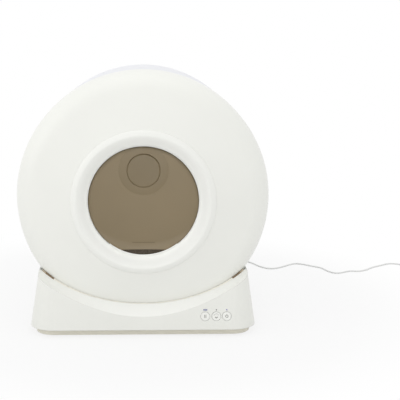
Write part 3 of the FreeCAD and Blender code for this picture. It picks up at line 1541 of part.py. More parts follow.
def make_lead():
    """Free lead along the floor, the coil of its spare length, and what is on its far end."""
    radius = value("dims.cord_radius")
    path, radii = cord_path(CORD_ROUTE)
    lead = tube(path, radius)
    print("cord radii", [round(size, 1) for size in radii])
    print("cord volume ratio", round(lead.Volume / (math.pi * radius ** 2 * path.Length), 4))
    keep("power_cord", solid_piece("power_cord", lead))

    turns = value("dims.coil_turns")
    quarters = int(round(turns * 4))
    edges = [Part.LineSegment(coil_entry, coil_entry + Vector(2 * radius, 0, 0)).toShape()]
    shift = Vector(2 * radius, 0, 0)
    spots = [coil_point(number / 4) + shift for number in range(quarters + 1)]
    headings = [coil_heading(number / 4) for number in range(quarters + 1)]
    for number in range(quarters):
        edges.extend(biarc(spots[number], headings[number], spots[number + 1], headings[number + 1]))
    last = spots[-1] + headings[-1] * value("dims.coil_tail")
    edges.append(Part.LineSegment(spots[-1], last).toShape())
    path_coil = Part.Wire(Part.__sortEdges__(edges))
    coil = tube(path_coil, radius)
    keep("cord_coil", solid_piece("cord_coil", coil))
    print("coil volume ratio", round(coil.Volume / (math.pi * radius ** 2 * path_coil.Length), 4))
    print("coil least self-gap", round(self_gap(path_coil, radius), 2))
    print("lead length", round(path.Length + path_coil.Length, 1))
    make_adapter(last)
    make_tie()


def self_gap(path, radius):
    """The least gap between turns, measured on points along the path."""
    count = 400
    spots = path.discretize(Number=count)
    step = path.Length / (count - 1)
    skip = int(4 * math.pi * radius / step)
    least = math.inf
    for number, spot in enumerate(spots):
        for other in spots[number + skip:]:
            least = min(least, (spot - other).Length)
    return least - 2 * radius


def make_tie():
    """Band round the coil's turns, opposite the lead's entry."""
    low = value("dims.coil_lift") - value("dims.cord_radius") - 1.0
    high = value("dims.coil_lift") + coil_pitch + value("dims.cord_radius") + 0.4
    inner_y = coil_centre.y + coil_mid_inner() - value("dims.cord_radius") - 0.5
    outer_y = coil_centre.y + coil_outer + value("dims.cord_radius") + 0.8
    x = coil_centre.x + 2 * value("dims.cord_radius")
    thick = 0.8
    outer = Part.makeBox(6, outer_y - inner_y + 2 * thick, high - low + thick,
                         Vector(x - 3, inner_y - thick, low))
    inner = Part.makeBox(8, outer_y - inner_y, high - low - thick, Vector(x - 4, inner_y, low + thick))
    keep("cord_tie", solid_piece("cord_tie", outer.cut(inner)))


def coil_mid_inner():
    return coil_outer - coil_pitch * value("dims.coil_turns") / 2


def make_adapter(end):
    """Wall adapter lying on its back with its two round pins up."""
    relief_length = 10
    width = value("dims.adapter_width")
    length = value("dims.adapter_length")
    height = value("dims.adapter_height")
    body = new_body("wall_adapter")
    sketch = new_sketch(body, "XY_Plane", "adapter_outline")
    rounded_rectangle(sketch, "0 - dims.adapter_width / 2", "dims.adapter_width / 2", "0",
                      "dims.adapter_length", "7")
    pad(body, sketch, "dims.adapter_height")
    fillet(body, "2", edges_in(z=(height, height)))
    relief = new_sketch(body, "XZ_Plane", "adapter_relief")
    circle(relief, "0", str(end.z), "dims.cord_radius + 0.8")
    pad(body, relief, str(relief_length))
    place(body, str(end.x), str(end.y + relief_length), "0")
    keep("wall_adapter", body)
    pins = []
    for side in (-1, 1):
        pins.append(rod("adapter_pin", "dims.pin_radius", "dims.pin_length",
                        f"{end.x} + {side} * dims.pin_spacing / 2",
                        f"{end.y + relief_length} + dims.adapter_length / 2", "dims.adapter_height"))
    keep("adapter_pins", join("adapter_pins", pins))


make_front_shell()
make_entry_ring()
make_threshold_lip()
make_ring_gear()
make_rear_shell()
make_drum_liner()
make_liner_back()
make_front_liner()
make_litter_mat()
make_sifting_screen()
make_port_flap()
make_flap_pin()
make_deodoriser()
make_waste_bin()
make_drum_screws()
make_position_magnet()
make_base_shell()
make_base_plate()
make_feet()
make_base_screws()
make_rollers()
make_drive()
make_boards()
make_controls()
make_inlet()
make_lead()
doc.recompute()

# Every object has to be sound before anything is written
for item in doc.Objects:
    if {"Invalid", "Error"} & set(item.State):
        raise RuntimeError(f"{item.Name} failed: {item.State}")
for item in doc.Objects:
    if item.TypeId in ("PartDesign::Pocket", "PartDesign::Groove"):
        before = item.BaseFeature.Shape.Volume
        if item.Shape.Volume > before - 1e-3:
            raise RuntimeError(f"{item.Name} cuts nothing")
for name, item in pieces.items():
    if item.Shape.isNull() or not item.Shape.isValid():
        raise RuntimeError(f"{name} has no sound shape")

os.makedirs("parts", exist_ok=True)
for name, item in pieces.items():
    item.Shape.exportStep(f"parts/{name}.step")
print(len(pieces), "sub-parts")
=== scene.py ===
import bmesh
import bpy
import math
from mathutils import Matrix, Vector


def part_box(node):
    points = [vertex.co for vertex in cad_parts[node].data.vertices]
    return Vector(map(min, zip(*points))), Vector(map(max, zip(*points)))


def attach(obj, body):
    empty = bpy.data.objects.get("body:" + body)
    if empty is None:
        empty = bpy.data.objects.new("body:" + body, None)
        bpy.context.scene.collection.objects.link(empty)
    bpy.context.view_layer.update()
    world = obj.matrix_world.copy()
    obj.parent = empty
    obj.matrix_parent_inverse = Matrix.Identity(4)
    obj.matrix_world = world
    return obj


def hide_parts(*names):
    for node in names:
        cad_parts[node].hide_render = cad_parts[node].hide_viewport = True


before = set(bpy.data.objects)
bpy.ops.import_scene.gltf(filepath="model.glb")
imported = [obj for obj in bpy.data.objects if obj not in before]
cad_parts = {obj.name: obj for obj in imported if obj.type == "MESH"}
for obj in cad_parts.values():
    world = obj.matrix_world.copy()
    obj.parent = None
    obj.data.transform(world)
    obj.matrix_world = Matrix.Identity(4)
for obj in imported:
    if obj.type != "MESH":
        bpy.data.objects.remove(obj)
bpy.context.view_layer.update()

# Frame: metres, +Z up, the entry faces -Y and the drum turns about a level axis along Y

AXIS_HEIGHT = 0.283
RING_FRONT = -0.250


def add_object(name, data):
    """A new object in the scene that shows the data."""
    obj = bpy.data.objects.new(name, data)
    bpy.context.collection.objects.link(obj)
    return obj


# Camera: straight in front, a little above, turned right so that the object stands left of the middle

IMAGE_SIDE = 400
FOCAL_PIXELS = 1018
SENSOR = 36
CAMERA_DISTANCE = 2.080
CAMERA_ELEVATION = math.radians(11.44)
CAMERA_AHEAD = Vector((0, math.cos(CAMERA_ELEVATION), -math.sin(CAMERA_ELEVATION)))
CAMERA_TARGET = Vector((0, RING_FRONT, AXIS_HEIGHT))
TARGET_PIXEL = (143.6, 203.4)


def make_camera():
    """Camera ahead of the entry, turned so that the target falls on its pixel."""
    data = bpy.data.cameras.new("camera")
    data.sensor_width = SENSOR
    data.lens = SENSOR * FOCAL_PIXELS / IMAGE_SIDE
    camera = add_object("camera", data)
    above = Vector((0, math.sin(CAMERA_ELEVATION), math.cos(CAMERA_ELEVATION)))
    across = Vector((1, 0, 0))
    yaw = math.atan((IMAGE_SIDE / 2 - TARGET_PIXEL[0]) / FOCAL_PIXELS)
    pitch = math.atan((IMAGE_SIDE / 2 - TARGET_PIXEL[1]) / FOCAL_PIXELS)
    looking = CAMERA_AHEAD * math.cos(yaw) + across * math.sin(yaw)
    right = across * math.cos(yaw) - CAMERA_AHEAD * math.sin(yaw)
    turned = Matrix((right, above, -looking)).transposed().to_4x4()
    spot = Matrix.Translation(CAMERA_TARGET - CAMERA_AHEAD * CAMERA_DISTANCE)
    camera.matrix_world = spot @ turned @ Matrix.Rotation(-pitch, 4, "X")
    bpy.context.scene.camera = camera


# Lead: the route's points are the ones the solids follow

CORD_RADIUS = 0.002
CORD_LEVEL = CORD_RADIUS
CORD_RISE = 0.0004
COIL_CENTRE = Vector((0.735, 0.318, 0.0032))
COIL_MID_RADIUS = 0.0235
COIL_PITCH = 0.0046
COIL_TURNS = 4.25
COIL_OUTER = COIL_MID_RADIUS + COIL_PITCH * COIL_TURNS / 4
COIL_TAIL = 0.030
COIL_STEPS = 14
COIL_CLIMB = 0.5
CORD_ROUNDNESS = 3
CORD_SMOOTHNESS = 6
CORD_EXIT = Vector((0.150, 0.250, 0.033))
FLOOR_ROUTE = [
    (0.171, 0.320), (0.189, 0.337), (0.213, 0.349), (0.239, 0.354), (0.262, 0.360),
    (0.281, 0.349), (0.294, 0.326), (0.306, 0.298), (0.326, 0.276), (0.351, 0.281),
    (0.378, 0.308), (0.403, 0.331), (0.424, 0.322), (0.443, 0.303), (0.466, 0.286),
    (0.473, 0.263), (0.484, 0.238), (0.501, 0.228), (0.520, 0.241), (0.538, 0.252),
    (0.558, 0.246), (0.582, 0.260), (0.603, 0.287), (0.630, 0.305), (0.657, 0.327),
    (0.680, 0.320),
]
CORD_ROUTE = [
    CORD_EXIT,
    Vector((0.150, 0.259, 0.033)),
    Vector((0.151, 0.274, 0.027)),
    Vector((0.155, 0.288, 0.017)),
    Vector((0.161, 0.303, 0.007)),
    *(Vector((*spot, CORD_LEVEL)) for spot in FLOOR_ROUTE),
    Vector((0.694, 0.301, CORD_LEVEL + CORD_RISE)),
    Vector((0.711, COIL_CENTRE.y - COIL_OUTER, COIL_CENTRE.z)),
]


def coil_point(turned):
    """A control point of the coil after so many turns, first inwards, then out again a layer higher."""
    inward = min(turned, COIL_TURNS - turned)
    climb = min(max((turned - COIL_TURNS / 2 + COIL_CLIMB / 2) / COIL_CLIMB, 0), 1)
    # control points stand a little outside the line that they make
    bulge = 1 / math.cos(math.pi / COIL_STEPS) ** 0.5
    radius = (COIL_OUTER - COIL_PITCH * inward) * bulge
    angle = 2 * math.pi * turned - math.pi / 2
    flat = Vector((math.cos(angle), math.sin(angle), 0)) * radius
    return COIL_CENTRE + flat + Vector((2 * CORD_RADIUS, 0, COIL_PITCH * climb))


def nurbs(name, points, radius):
    """A round cord along a smooth curve."""
    data = bpy.data.curves.new(name, "CURVE")
    data.dimensions = "3D"
    data.bevel_depth = 1
    data.bevel_resolution = CORD_ROUNDNESS
    data.resolution_u = CORD_SMOOTHNESS
    spline = data.splines.new("NURBS")
    spline.points.add(len(points) - 1)
    for point, spot in zip(spline.points, points):
        point.co = (*spot, 1)
        # the points carry the thickness, because a curve's box is as much larger as their radius
        point.radius = radius
    spline.order_u = 3
    spline.use_endpoint_u = True
    data.use_fill_caps = True
    return add_object(name, data)


def make_lead():
    """The lead from its plug to the wall adapter, with what is spare wound into a coil."""
    count = round(COIL_TURNS * COIL_STEPS)
    coil = [coil_point(COIL_TURNS * number / count) for number in range(count + 1)]
    end = coil[-1] + Vector((0, COIL_TAIL, 0))
    lead = nurbs("power_lead", CORD_ROUTE + coil + [end], CORD_RADIUS)
    lead.data.materials.append(FINISHES["lead"])
    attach(lead, "base")
    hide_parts("power_cord", "cord_coil")


# Materials, all made of nodes: noise scales are in waves per metre, heights and radii in metres

DRIFT_SCALE = 6
SMEAR_SCALE = 22
RAMP_START = 0.3
RAMP_END = 0.7
EDGE_SAMPLES = 4
PLASTIC_IOR = 1.48
LEAST_ROUGHNESS = 0.02
GLOSS_SPREAD = 0.06
# the painted light on upward sloping faces fades in between these two upward parts of the normal
LIT_SLOPE_START = 0.2
LIT_SLOPE_END = 0.55


def new_material(name):
    """A material with its node tree and its shader."""
    mat = bpy.data.materials.new(name)
    mat.use_nodes = True
    tree = mat.node_tree
    tree.nodes.clear()
    out = tree.nodes.new("ShaderNodeOutputMaterial")
    shader = tree.nodes.new("ShaderNodeBsdfPrincipled")
    tree.links.new(shader.outputs["BSDF"], out.inputs["Surface"])
    return mat, tree, shader


def object_noise(tree, scale, detail=2.0, stretch=(1, 1, 1)):
    """Noise over the object's own coordinates, in metres."""
    place = tree.nodes.new("ShaderNodeTexCoord")
    mapping = tree.nodes.new("ShaderNodeMapping")
    mapping.inputs["Scale"].default_value = stretch
    noise = tree.nodes.new("ShaderNodeTexNoise")
    noise.inputs["Scale"].default_value = scale
    noise.inputs["Detail"].default_value = detail
    tree.links.new(place.outputs["Object"], mapping.inputs["Vector"])
    tree.links.new(mapping.outputs["Vector"], noise.inputs["Vector"])
    return noise


def vary_colour(tree, shader, source, colour, spread):
    """Base colour that drifts a little lighter and darker."""
    ramp = tree.nodes.new("ShaderNodeValToRGB")
    ramp.color_ramp.elements[0].position = RAMP_START
    ramp.color_ramp.elements[1].position = RAMP_END
    ramp.color_ramp.elements[0].color = (*(part * (1 - spread) for part in colour), 1)
    ramp.color_ramp.elements[1].color = (*(min(part * (1 + spread), 1) for part in colour), 1)
    tree.links.new(source, ramp.inputs["Fac"])
    tree.links.new(ramp.outputs["Color"], shader.inputs["Base Color"])


def vary_roughness(tree, shader, source, middle, spread):
    """Gloss that drifts a little round its middle value."""
    span = tree.nodes.new("ShaderNodeMapRange")
    span.inputs["To Min"].default_value = max(middle - spread, LEAST_ROUGHNESS)
    span.inputs["To Max"].default_value = min(middle + spread, 1)
    tree.links.new(source, span.inputs["Value"])
    tree.links.new(span.outputs["Result"], shader.inputs["Roughness"])


def add_bump(tree, shader, source, height, edge=0.0):
    """Fine relief, over edges that look rounded where an edge radius is given."""
    bump = tree.nodes.new("ShaderNodeBump")
    bump.inputs["Distance"].default_value = height
    tree.links.new(source, bump.inputs["Height"])
    tree.links.new(bump.outputs["Normal"], shader.inputs["Normal"])
    if edge:
        rounding = tree.nodes.new("ShaderNodeBevel")
        rounding.samples = EDGE_SAMPLES
        rounding.inputs["Radius"].default_value = edge
        tree.links.new(rounding.outputs["Normal"], bump.inputs["Normal"])


def plastic(name, colour, roughness=0.4, spread=0.012, grain=1400, height=0.00004, edge=0.0):
    """Moulded plastic: a fine spark-eroded grain, slow drift of colour and of gloss."""
    mat, tree, shader = new_material(name)
    drift = object_noise(tree, DRIFT_SCALE)
    smear = object_noise(tree, SMEAR_SCALE, detail=4)
    fine = object_noise(tree, grain, detail=1)
    vary_colour(tree, shader, drift.outputs["Fac"], colour, spread)
    vary_roughness(tree, shader, smear.outputs["Fac"], roughness, GLOSS_SPREAD)
    add_bump(tree, shader, fine.outputs["Fac"], height, edge)
    shader.inputs["IOR"].default_value = PLASTIC_IOR
    return mat


def plastic_with_painted_slope_light(name, upright_shaded, sloping_lit, roughness, edge):
    """Plastic with painted light and shade: faces that slope upwards are painted paler, for the light from
    above, and upright walls keep the darker colour, for their shade.
    """
    mat = plastic(name, upright_shaded, roughness, edge=edge)
    tree = mat.node_tree
    base_colour = tree.nodes["Principled BSDF"].inputs["Base Color"]
    # the mask: the more a face points up, the more of the paler painted light it gets
    place = tree.nodes.new("ShaderNodeTexCoord")
    facing = tree.nodes.new("ShaderNodeSeparateXYZ")
    share = tree.nodes.new("ShaderNodeMapRange")
    share.interpolation_type = "SMOOTHSTEP"
    share.inputs["From Min"].default_value = LIT_SLOPE_START
    share.inputs["From Max"].default_value = LIT_SLOPE_END
    mix = tree.nodes.new("ShaderNodeMix")
    mix.data_type = "RGBA"
    upright_socket, sloping_socket = [socket for socket in mix.inputs if socket.type == "RGBA"]
    mixed_socket, = [socket for socket in mix.outputs if socket.type == "RGBA"]
    sloping_socket.default_value = (*sloping_lit, 1)
    tree.links.new(place.outputs["Normal"], facing.inputs[0])
    tree.links.new(facing.outputs["Z"], share.inputs["Value"])
    tree.links.new(share.outputs["Result"], mix.inputs["Factor"])
    tree.links.new(base_colour.links[0].from_socket, upright_socket)
    tree.links.new(mixed_socket, base_colour)
    return mat


def rubber(name, colour, roughness=0.75):
    """Rubber with a soft bloom and small pits."""
    mat, tree, shader = new_material(name)
    bloom = object_noise(tree, 30, detail=5)
    pits = object_noise(tree, 900, detail=3)
    vary_colour(tree, shader, bloom.outputs["Fac"], colour, 0.12)
    vary_roughness(tree, shader, bloom.outputs["Fac"], roughness, 0.08)
    add_bump(tree, shader, pits.outputs["Fac"], 0.0001)
    shader.inputs["Sheen Weight"].default_value = 0.15
    return mat


def metal(name, colour, roughness, stretch=(1, 40, 1)):
    """Drawn or brushed metal with its marks along one way."""
    mat, tree, shader = new_material(name)
    marks = object_noise(tree, 60, detail=6, stretch=stretch)
    vary_colour(tree, shader, marks.outputs["Fac"], colour, 0.06)
    vary_roughness(tree, shader, marks.outputs["Fac"], roughness, 0.08)
    add_bump(tree, shader, marks.outputs["Fac"], 0.00003)
    shader.inputs["Metallic"].default_value = 1.0
    return mat


def granules(name, colour, scale, height):
    """Packed grains, such as charcoal or a dimpled mat."""
    mat, tree, shader = new_material(name)
    place = tree.nodes.new("ShaderNodeTexCoord")
    cells = tree.nodes.new("ShaderNodeTexVoronoi")
    cells.inputs["Scale"].default_value = scale
    tree.links.new(place.outputs["Object"], cells.inputs["Vector"])
    vary_colour(tree, shader, cells.outputs["Distance"], colour, 0.25)
    add_bump(tree, shader, cells.outputs["Distance"], height)
    shader.inputs["Roughness"].default_value = 0.85
    return mat


def circuit(name, colour):
    """Solder mask over copper tracks."""
    mat, tree, shader = new_material(name)
    place = tree.nodes.new("ShaderNodeTexCoord")
    tracks = tree.nodes.new("ShaderNodeTexBrick")
    tracks.inputs["Scale"].default_value = 180
    tracks.inputs["Mortar Size"].default_value = 0.03
    tracks.inputs["Color1"].default_value = (*colour, 1)
    tracks.inputs["Color2"].default_value = (*(part * 1.25 for part in colour), 1)
    tracks.inputs["Mortar"].default_value = (*(part * 1.8 for part in colour), 1)
    tree.links.new(place.outputs["Object"], tracks.inputs["Vector"])
    tree.links.new(tracks.outputs["Color"], shader.inputs["Base Color"])
    add_bump(tree, shader, tracks.outputs["Fac"], 0.00003)
    shader.inputs["Roughness"].default_value = 0.35
    return mat


def felt(name, colour):
    """Pressed felt: soft fibres and a slight nap."""
    mat, tree, shader = new_material(name)
    fibres = object_noise(tree, 1500, detail=6, stretch=(1, 1, 0.4))
    vary_colour(tree, shader, fibres.outputs["Fac"], colour, 0.12)
    add_bump(tree, shader, fibres.outputs["Fac"], 0.0002)
    shader.inputs["Roughness"].default_value = 0.95
    shader.inputs["Sheen Weight"].default_value = 0.4
    return mat


def woven(name, colour):
    """Narrow woven tape."""
    mat, tree, shader = new_material(name)
    place = tree.nodes.new("ShaderNodeTexCoord")
    threads = tree.nodes.new("ShaderNodeTexWave")
    threads.inputs["Scale"].default_value = 500
    threads.inputs["Distortion"].default_value = 0.6
    tree.links.new(place.outputs["Object"], threads.inputs["Vector"])
    vary_colour(tree, shader, threads.outputs["Fac"], colour, 0.1)
    add_bump(tree, shader, threads.outputs["Fac"], 0.00015)
    shader.inputs["Roughness"].default_value = 0.8
    shader.inputs["Sheen Weight"].default_value = 0.3
    return mat


WHITE_EDGE = 0.0015
CAP_EDGE = 0.003
WHITE = (0.855, 0.86, 0.815)
WHITE_TRIM = (0.87, 0.875, 0.835)
# painted shade: a darker copy of the white for the base's upright walls
WHITE_BASE_SHADED = (0.815, 0.82, 0.775)
# painted reflection: a bluer, slightly darker copy of the white for the drum's rear shell, standing in for
# the bluish reflection along its top
WHITE_REAR_REFLECTION = (0.79, 0.80, 0.835)
# painted light: a paler copy of the white for the base's sloping faces
WHITE_BAND_LIT = (0.874, 0.878, 0.842)
TAUPE = (0.425, 0.337, 0.205)
# painted shade: a darker copy of the taupe for the disc round the cap
TAUPE_CAP_SHADE = (0.39, 0.31, 0.188)
TAUPE_CAP = (0.342, 0.268, 0.155)
TAUPE_DARK = (0.34, 0.275, 0.17)
LEAD_WHITE = (0.76, 0.765, 0.755)

FINISHES = {
    "white": plastic("white_plastic", WHITE, 0.36, edge=WHITE_EDGE),
    "trim": plastic("white_trim", WHITE_TRIM, 0.32, edge=WHITE_EDGE),
    # the rear shell's white carries a painted bluish reflection
    "rear_white_painted_reflection": plastic("rear_plastic_painted_reflection", WHITE_REAR_REFLECTION, 0.36, edge=WHITE_EDGE),
    # the base: painted shade on its upright walls, painted light on its sloping faces
    "base_white_painted_shade_and_light": plastic_with_painted_slope_light("base_plastic_painted_shade_and_light", WHITE_BASE_SHADED, WHITE_BAND_LIT, 0.36, edge=WHITE_EDGE),
    "taupe": plastic("taupe_plastic", TAUPE, 0.55, spread=0.03, grain=900, height=0.00008),
    # painted shade round the cap
    "cap_shade": plastic("taupe_painted_cap_shade", TAUPE_CAP_SHADE, 0.55, spread=0.03, grain=900, height=0.00008),
    "taupe_cap": plastic("taupe_cap_plastic", TAUPE_CAP, 0.48, spread=0.03, edge=CAP_EDGE),
    "taupe_dark": plastic("taupe_dark_plastic", TAUPE_DARK, 0.5, spread=0.03),
    "mat": granules("mat_rubber", (0.13, 0.108, 0.078), 420, 0.0004),
    "gear": plastic("acetal", (0.70, 0.70, 0.66), 0.42, spread=0.03),
    "grey": plastic("grey_plastic", (0.42, 0.41, 0.38), 0.5, spread=0.03),
    "plinth": plastic("plinth_plastic", (0.79, 0.765, 0.665), 0.55, spread=0.02),
    "dark": plastic("dark_plastic", (0.05, 0.05, 0.055), 0.45, spread=0.08),
    "puck": granules("charcoal", (0.02, 0.02, 0.02), 600, 0.0006),
    "rubber": rubber("black_rubber", (0.03, 0.03, 0.03)),
    "tread": rubber("roller_tread", (0.05, 0.05, 0.055), 0.6),
    "steel": metal("turned_steel", (0.58, 0.59, 0.61), 0.32),
    "zinc": metal("zinc_plate", (0.62, 0.63, 0.62), 0.42, stretch=(1, 1, 1)),
    "aluminium": metal("milled_aluminium", (0.75, 0.76, 0.77), 0.35, stretch=(30, 1, 1)),
    "brass": metal("brass", (0.72, 0.55, 0.28), 0.25),
    "chrome": metal("nickel", (0.75, 0.75, 0.76), 0.15),
    "board": circuit("solder_mask", (0.01, 0.10, 0.035)),
    "lead": plastic("lead_sheath", LEAD_WHITE, 0.5, spread=0.02, grain=2500),
    "adapter": plastic("adapter_case", (0.74, 0.745, 0.75), 0.42),
    "felt_pale": felt("pale_felt", (0.92, 0.88, 0.79)),
    # painted shade: the tan and brown felt stand in for the shade in the gap near the cradle's horns
    "felt_tan_painted_shade": felt("tan_felt_painted_shade", (0.50, 0.42, 0.32)),
    "felt_brown_painted_shade": felt("brown_felt_painted_shade", (0.24, 0.165, 0.095)),
    "tie": woven("tie_tape", (0.62, 0.62, 0.62)),
    "light_blue": plastic("blue_lens", (0.20, 0.215, 0.37), 0.12),
    "light_dark": plastic("dark_lens", (0.10, 0.10, 0.095), 0.12),
    "light_violet": plastic("violet_lens", (0.25, 0.22, 0.50), 0.12),
    "mark": plastic("button_mark", (0.32, 0.32, 0.30), 0.5),
    # painted shade: a darker taupe for the bottom of the engraved fill line
    "fill_mark": plastic("fill_mark_print", (0.335, 0.268, 0.160), 0.6, spread=0.03),
}

FINISH_NODES = {
    "white": ["front_shell", "waste_bin_face"],
    "rear_white_painted_reflection": ["rear_shell", "rear_cover"],
    "base_white_painted_shade_and_light": ["base_shell"],
    "trim": ["threshold_lip", "button_left", "button_middle", "button_right", "indicator_left"],
    "taupe": ["drum_liner", "liner_back", "front_liner"],
    "taupe_cap": ["deodoriser_cap"],
    "taupe_dark": ["sifting_screen", "port_flap"],
    "mat": ["litter_mat"],
    "puck": ["deodoriser_puck"],
    "gear": ["ring_gear", "drive_pinion"],
    "grey": ["waste_bin", "drawer_sleeve"],
    "plinth": ["base_plate"],
    "rubber": ["rubber_feet"],
    "tread": [],
    "aluminium": ["load_cells"],
    "steel": ["flap_pin", "output_shaft"],
    "zinc": ["drum_screws", "base_screws", "motor"],
    "chrome": ["position_magnet"],
    "dark": ["gearbox", "hall_sensor", "dc_socket"],
    "board": ["main_board", "control_board"],
    "light_dark": ["indicator_middle"],
    "light_violet": ["indicator_right"],
    "lead": ["dc_plug"],
    "adapter": ["wall_adapter"],
    "brass": ["adapter_pins"],
    "tie": ["cord_tie"],
}
for corner in ("front_left", "front_right", "rear_left", "rear_right"):
    FINISH_NODES["dark"].append(f"roller_bracket_{corner}")
    FINISH_NODES["steel"].append(f"roller_axle_{corner}")
    FINISH_NODES["tread"].append(f"roller_{corner}")


def finish_nodes():
    """Every solid that isn't replaced gets its finish."""
    for finish, nodes in FINISH_NODES.items():
        for node in nodes:
            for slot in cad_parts[node].material_slots:
                slot.link = "OBJECT"
                slot.material = FINISHES[finish]


# Mesh helpers

def bridge(mesh, near, far):
    """Faces between two loops of corners."""
    for side in range(len(near)):
        after = (side + 1) % len(near)
        mesh.faces.new((near[side], near[after], far[after], far[side]))


def add_strip(mesh, rows):
    """A strip through loops of corners, closed at both ends."""
    for near, far in zip(rows, rows[1:]):
        bridge(mesh, near, far)
    mesh.faces.new(rows[0][::-1])
    mesh.faces.new(rows[-1])


def closed_data(name, mesh):
    """The finished mesh, with its faces turned outwards."""
    bmesh.ops.recalc_face_normals(mesh, faces=mesh.faces)
    data = bpy.data.meshes.new(name)
    mesh.to_mesh(data)
    mesh.free()
    return data


# Entry ring: a soft bead whose crest runs smoothly into the throat, and whose foot laps the face

THROAT_RADIUS = 0.1145
THROAT_FRONT = -0.231
THROAT_BACK = -0.226
RING_WALL = 0.003
CREST_RADIUS = 0.1385
FOOT_RADIUS = 0.1502
FOOT_LEVEL = -0.2430
SEAT_LEVEL = -0.240
SEAT_OUTER = 0.1487
SEAT_INNER = 0.134
RING_STEPS = 192
CURVE_STEPS = 20
FOOT_THICK = 0.0003
FOOT_FULLNESS = 1.35
FUNNEL_FULLNESS = 1.4
SHARP_ANGLE = math.radians(50)


def bead_curve(start_radius, end_radius, end_level, fullness):
    """Radius and y from the crest to where the bead ends, fuller than a straight slope."""
    points = []
    for number in range(CURVE_STEPS + 1):
        angle = math.pi / 2 * number / CURVE_STEPS
        out = math.sin(angle) ** (2 / fullness)
        back = 1 - math.cos(angle) ** (2 / fullness) if number < CURVE_STEPS else 1
        points.append((start_radius + (end_radius - start_radius) * out,
                       RING_FRONT + (end_level - RING_FRONT) * back))
    return points


def revolved(name, profile, steps, height):
    """A closed profile of radius and y turned about a level axis at that height."""
    mesh = bmesh.new()
    rows = []
    for number in range(steps):
        angle = 2 * math.pi * number / steps
        rows.append([mesh.verts.new((radius * math.sin(angle), along, height + radius * math.cos(angle)))
                     for radius, along in profile])
    for number, row in enumerate(rows):
        bridge(mesh, row, rows[(number + 1) % steps])
    data = closed_data(name, mesh)
    data.shade_smooth()
    data.set_sharp_from_angle(angle=SHARP_ANGLE)
    return data


def make_entry_ring():
    """The ring's solid gives way to a rounder bead in the same seat."""
    foot = bead_curve(CREST_RADIUS, FOOT_RADIUS, FOOT_LEVEL, FOOT_FULLNESS)
    funnel = bead_curve(CREST_RADIUS, THROAT_RADIUS, THROAT_FRONT, FUNNEL_FULLNESS)
    throat = [
        (THROAT_RADIUS, THROAT_BACK),
        (THROAT_RADIUS + RING_WALL, THROAT_BACK),
        (THROAT_RADIUS + RING_WALL, THROAT_BACK - RING_WALL / 2),
        (SEAT_INNER, SEAT_LEVEL),
        (SEAT_OUTER, SEAT_LEVEL),
        (SEAT_OUTER, FOOT_LEVEL + FOOT_THICK / 2),
        (FOOT_RADIUS, FOOT_LEVEL + FOOT_THICK),
    ]
    profile = foot[::-1] + funnel[1:] + throat
    ring = add_object("entry_bead", revolved("entry_bead", profile, RING_STEPS, AXIS_HEIGHT))
    ring.data.materials.append(FINISHES["trim"])
    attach(ring, "drum")
    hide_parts("entry_ring")


# Painted shade round the cap: a shallow disc on the back wall, a little darker than the wall

CAP_SHADE_RADIUS = 0.061
CAP_SHADE_INNER = 0.038
CAP_SHADE_THICK = 0.0006
CAP_SHADE_SLOPE = 0.0036
CAP_SHADE_RIM = 0.00006
CAP_SHADE_SUNK = 0.0003
CAP_SHADE_STEPS = 96
BACK_WALL = 0.155


def make_cap_painted_shade():
    """A disc of painted shade round the cap that thins towards its rim."""
    low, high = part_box("deodoriser_cap")
    profile = [
        (CAP_SHADE_INNER, BACK_WALL - CAP_SHADE_THICK),
        (CAP_SHADE_RADIUS - CAP_SHADE_SLOPE, BACK_WALL - CAP_SHADE_THICK),
        (CAP_SHADE_RADIUS, BACK_WALL - CAP_SHADE_RIM),
        (CAP_SHADE_RADIUS, BACK_WALL + CAP_SHADE_SUNK),
        (CAP_SHADE_INNER, BACK_WALL + CAP_SHADE_SUNK),
    ]
    data = revolved("cap_painted_shade", profile, CAP_SHADE_STEPS, (low.z + high.z) / 2)
    disc = add_object("cap_painted_shade", data)
    disc.data.materials.append(FINISHES["cap_shade"])
    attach(disc, "drum")


# Felt strip in the gap between drum and cradle: it follows the cradle's lip and stays off the drum

FELT_CLEAR = 0.0010
FELT_OUTER = 0.0049
FELT_SUNK = 0.0006
FELT_DEPTH = 0.005
FELT_STEP = 0.5
# past this angle the strip is brown, then tan: painted shade
FELT_PALE_END = 48
FELT_BROWN_END = 52.5
FELT_END = 54
GAP_REACH = 0.0056
PROFILE_START = 0.195
PROFILE_END = 0.262
PROFILE_STEP = 0.0004


def drum_profile():
    """Points and outward normals down the front of the drum, in the plane x = 0."""
    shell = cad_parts["front_shell"]
    profile = []
    for number in range(round((PROFILE_END - PROFILE_START) / PROFILE_STEP)):
        start = Vector((0, -1, AXIS_HEIGHT - PROFILE_START - number * PROFILE_STEP))
        met, spot, normal, _ = shell.ray_cast(start, Vector((0, 1, 0)))
        if met:
            profile.append((spot, normal))
    return profile


def felt_section(profile, angle):
    """The strip's four corners at an angle from straight down, or None where the cradle has no lip."""
    turn = Matrix.Translation((0, 0, AXIS_HEIGHT)) @ Matrix.Rotation(math.radians(angle), 4, "Y")
    turn = turn @ Matrix.Translation((0, 0, -AXIS_HEIGHT))
    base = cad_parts["base_shell"]
    for number, (spot, normal) in enumerate(profile):
        here = turn @ spot
        away = (turn.to_3x3() @ normal).normalized()
        if base.ray_cast(here + away * FELT_CLEAR / 2, away, distance=GAP_REACH)[0]:
            break
    else:
        return None
    ends = [number + round(depth / PROFILE_STEP) for depth in (FELT_SUNK, FELT_SUNK + FELT_DEPTH)]
    corners = []
    for end, reaches in zip(ends, ((FELT_CLEAR, FELT_OUTER), (FELT_OUTER, FELT_CLEAR))):
        spot, normal = profile[min(end, len(profile) - 1)]
        away = (turn.to_3x3() @ normal).normalized()
        corners += [turn @ spot + away * reach for reach in reaches]
    return corners


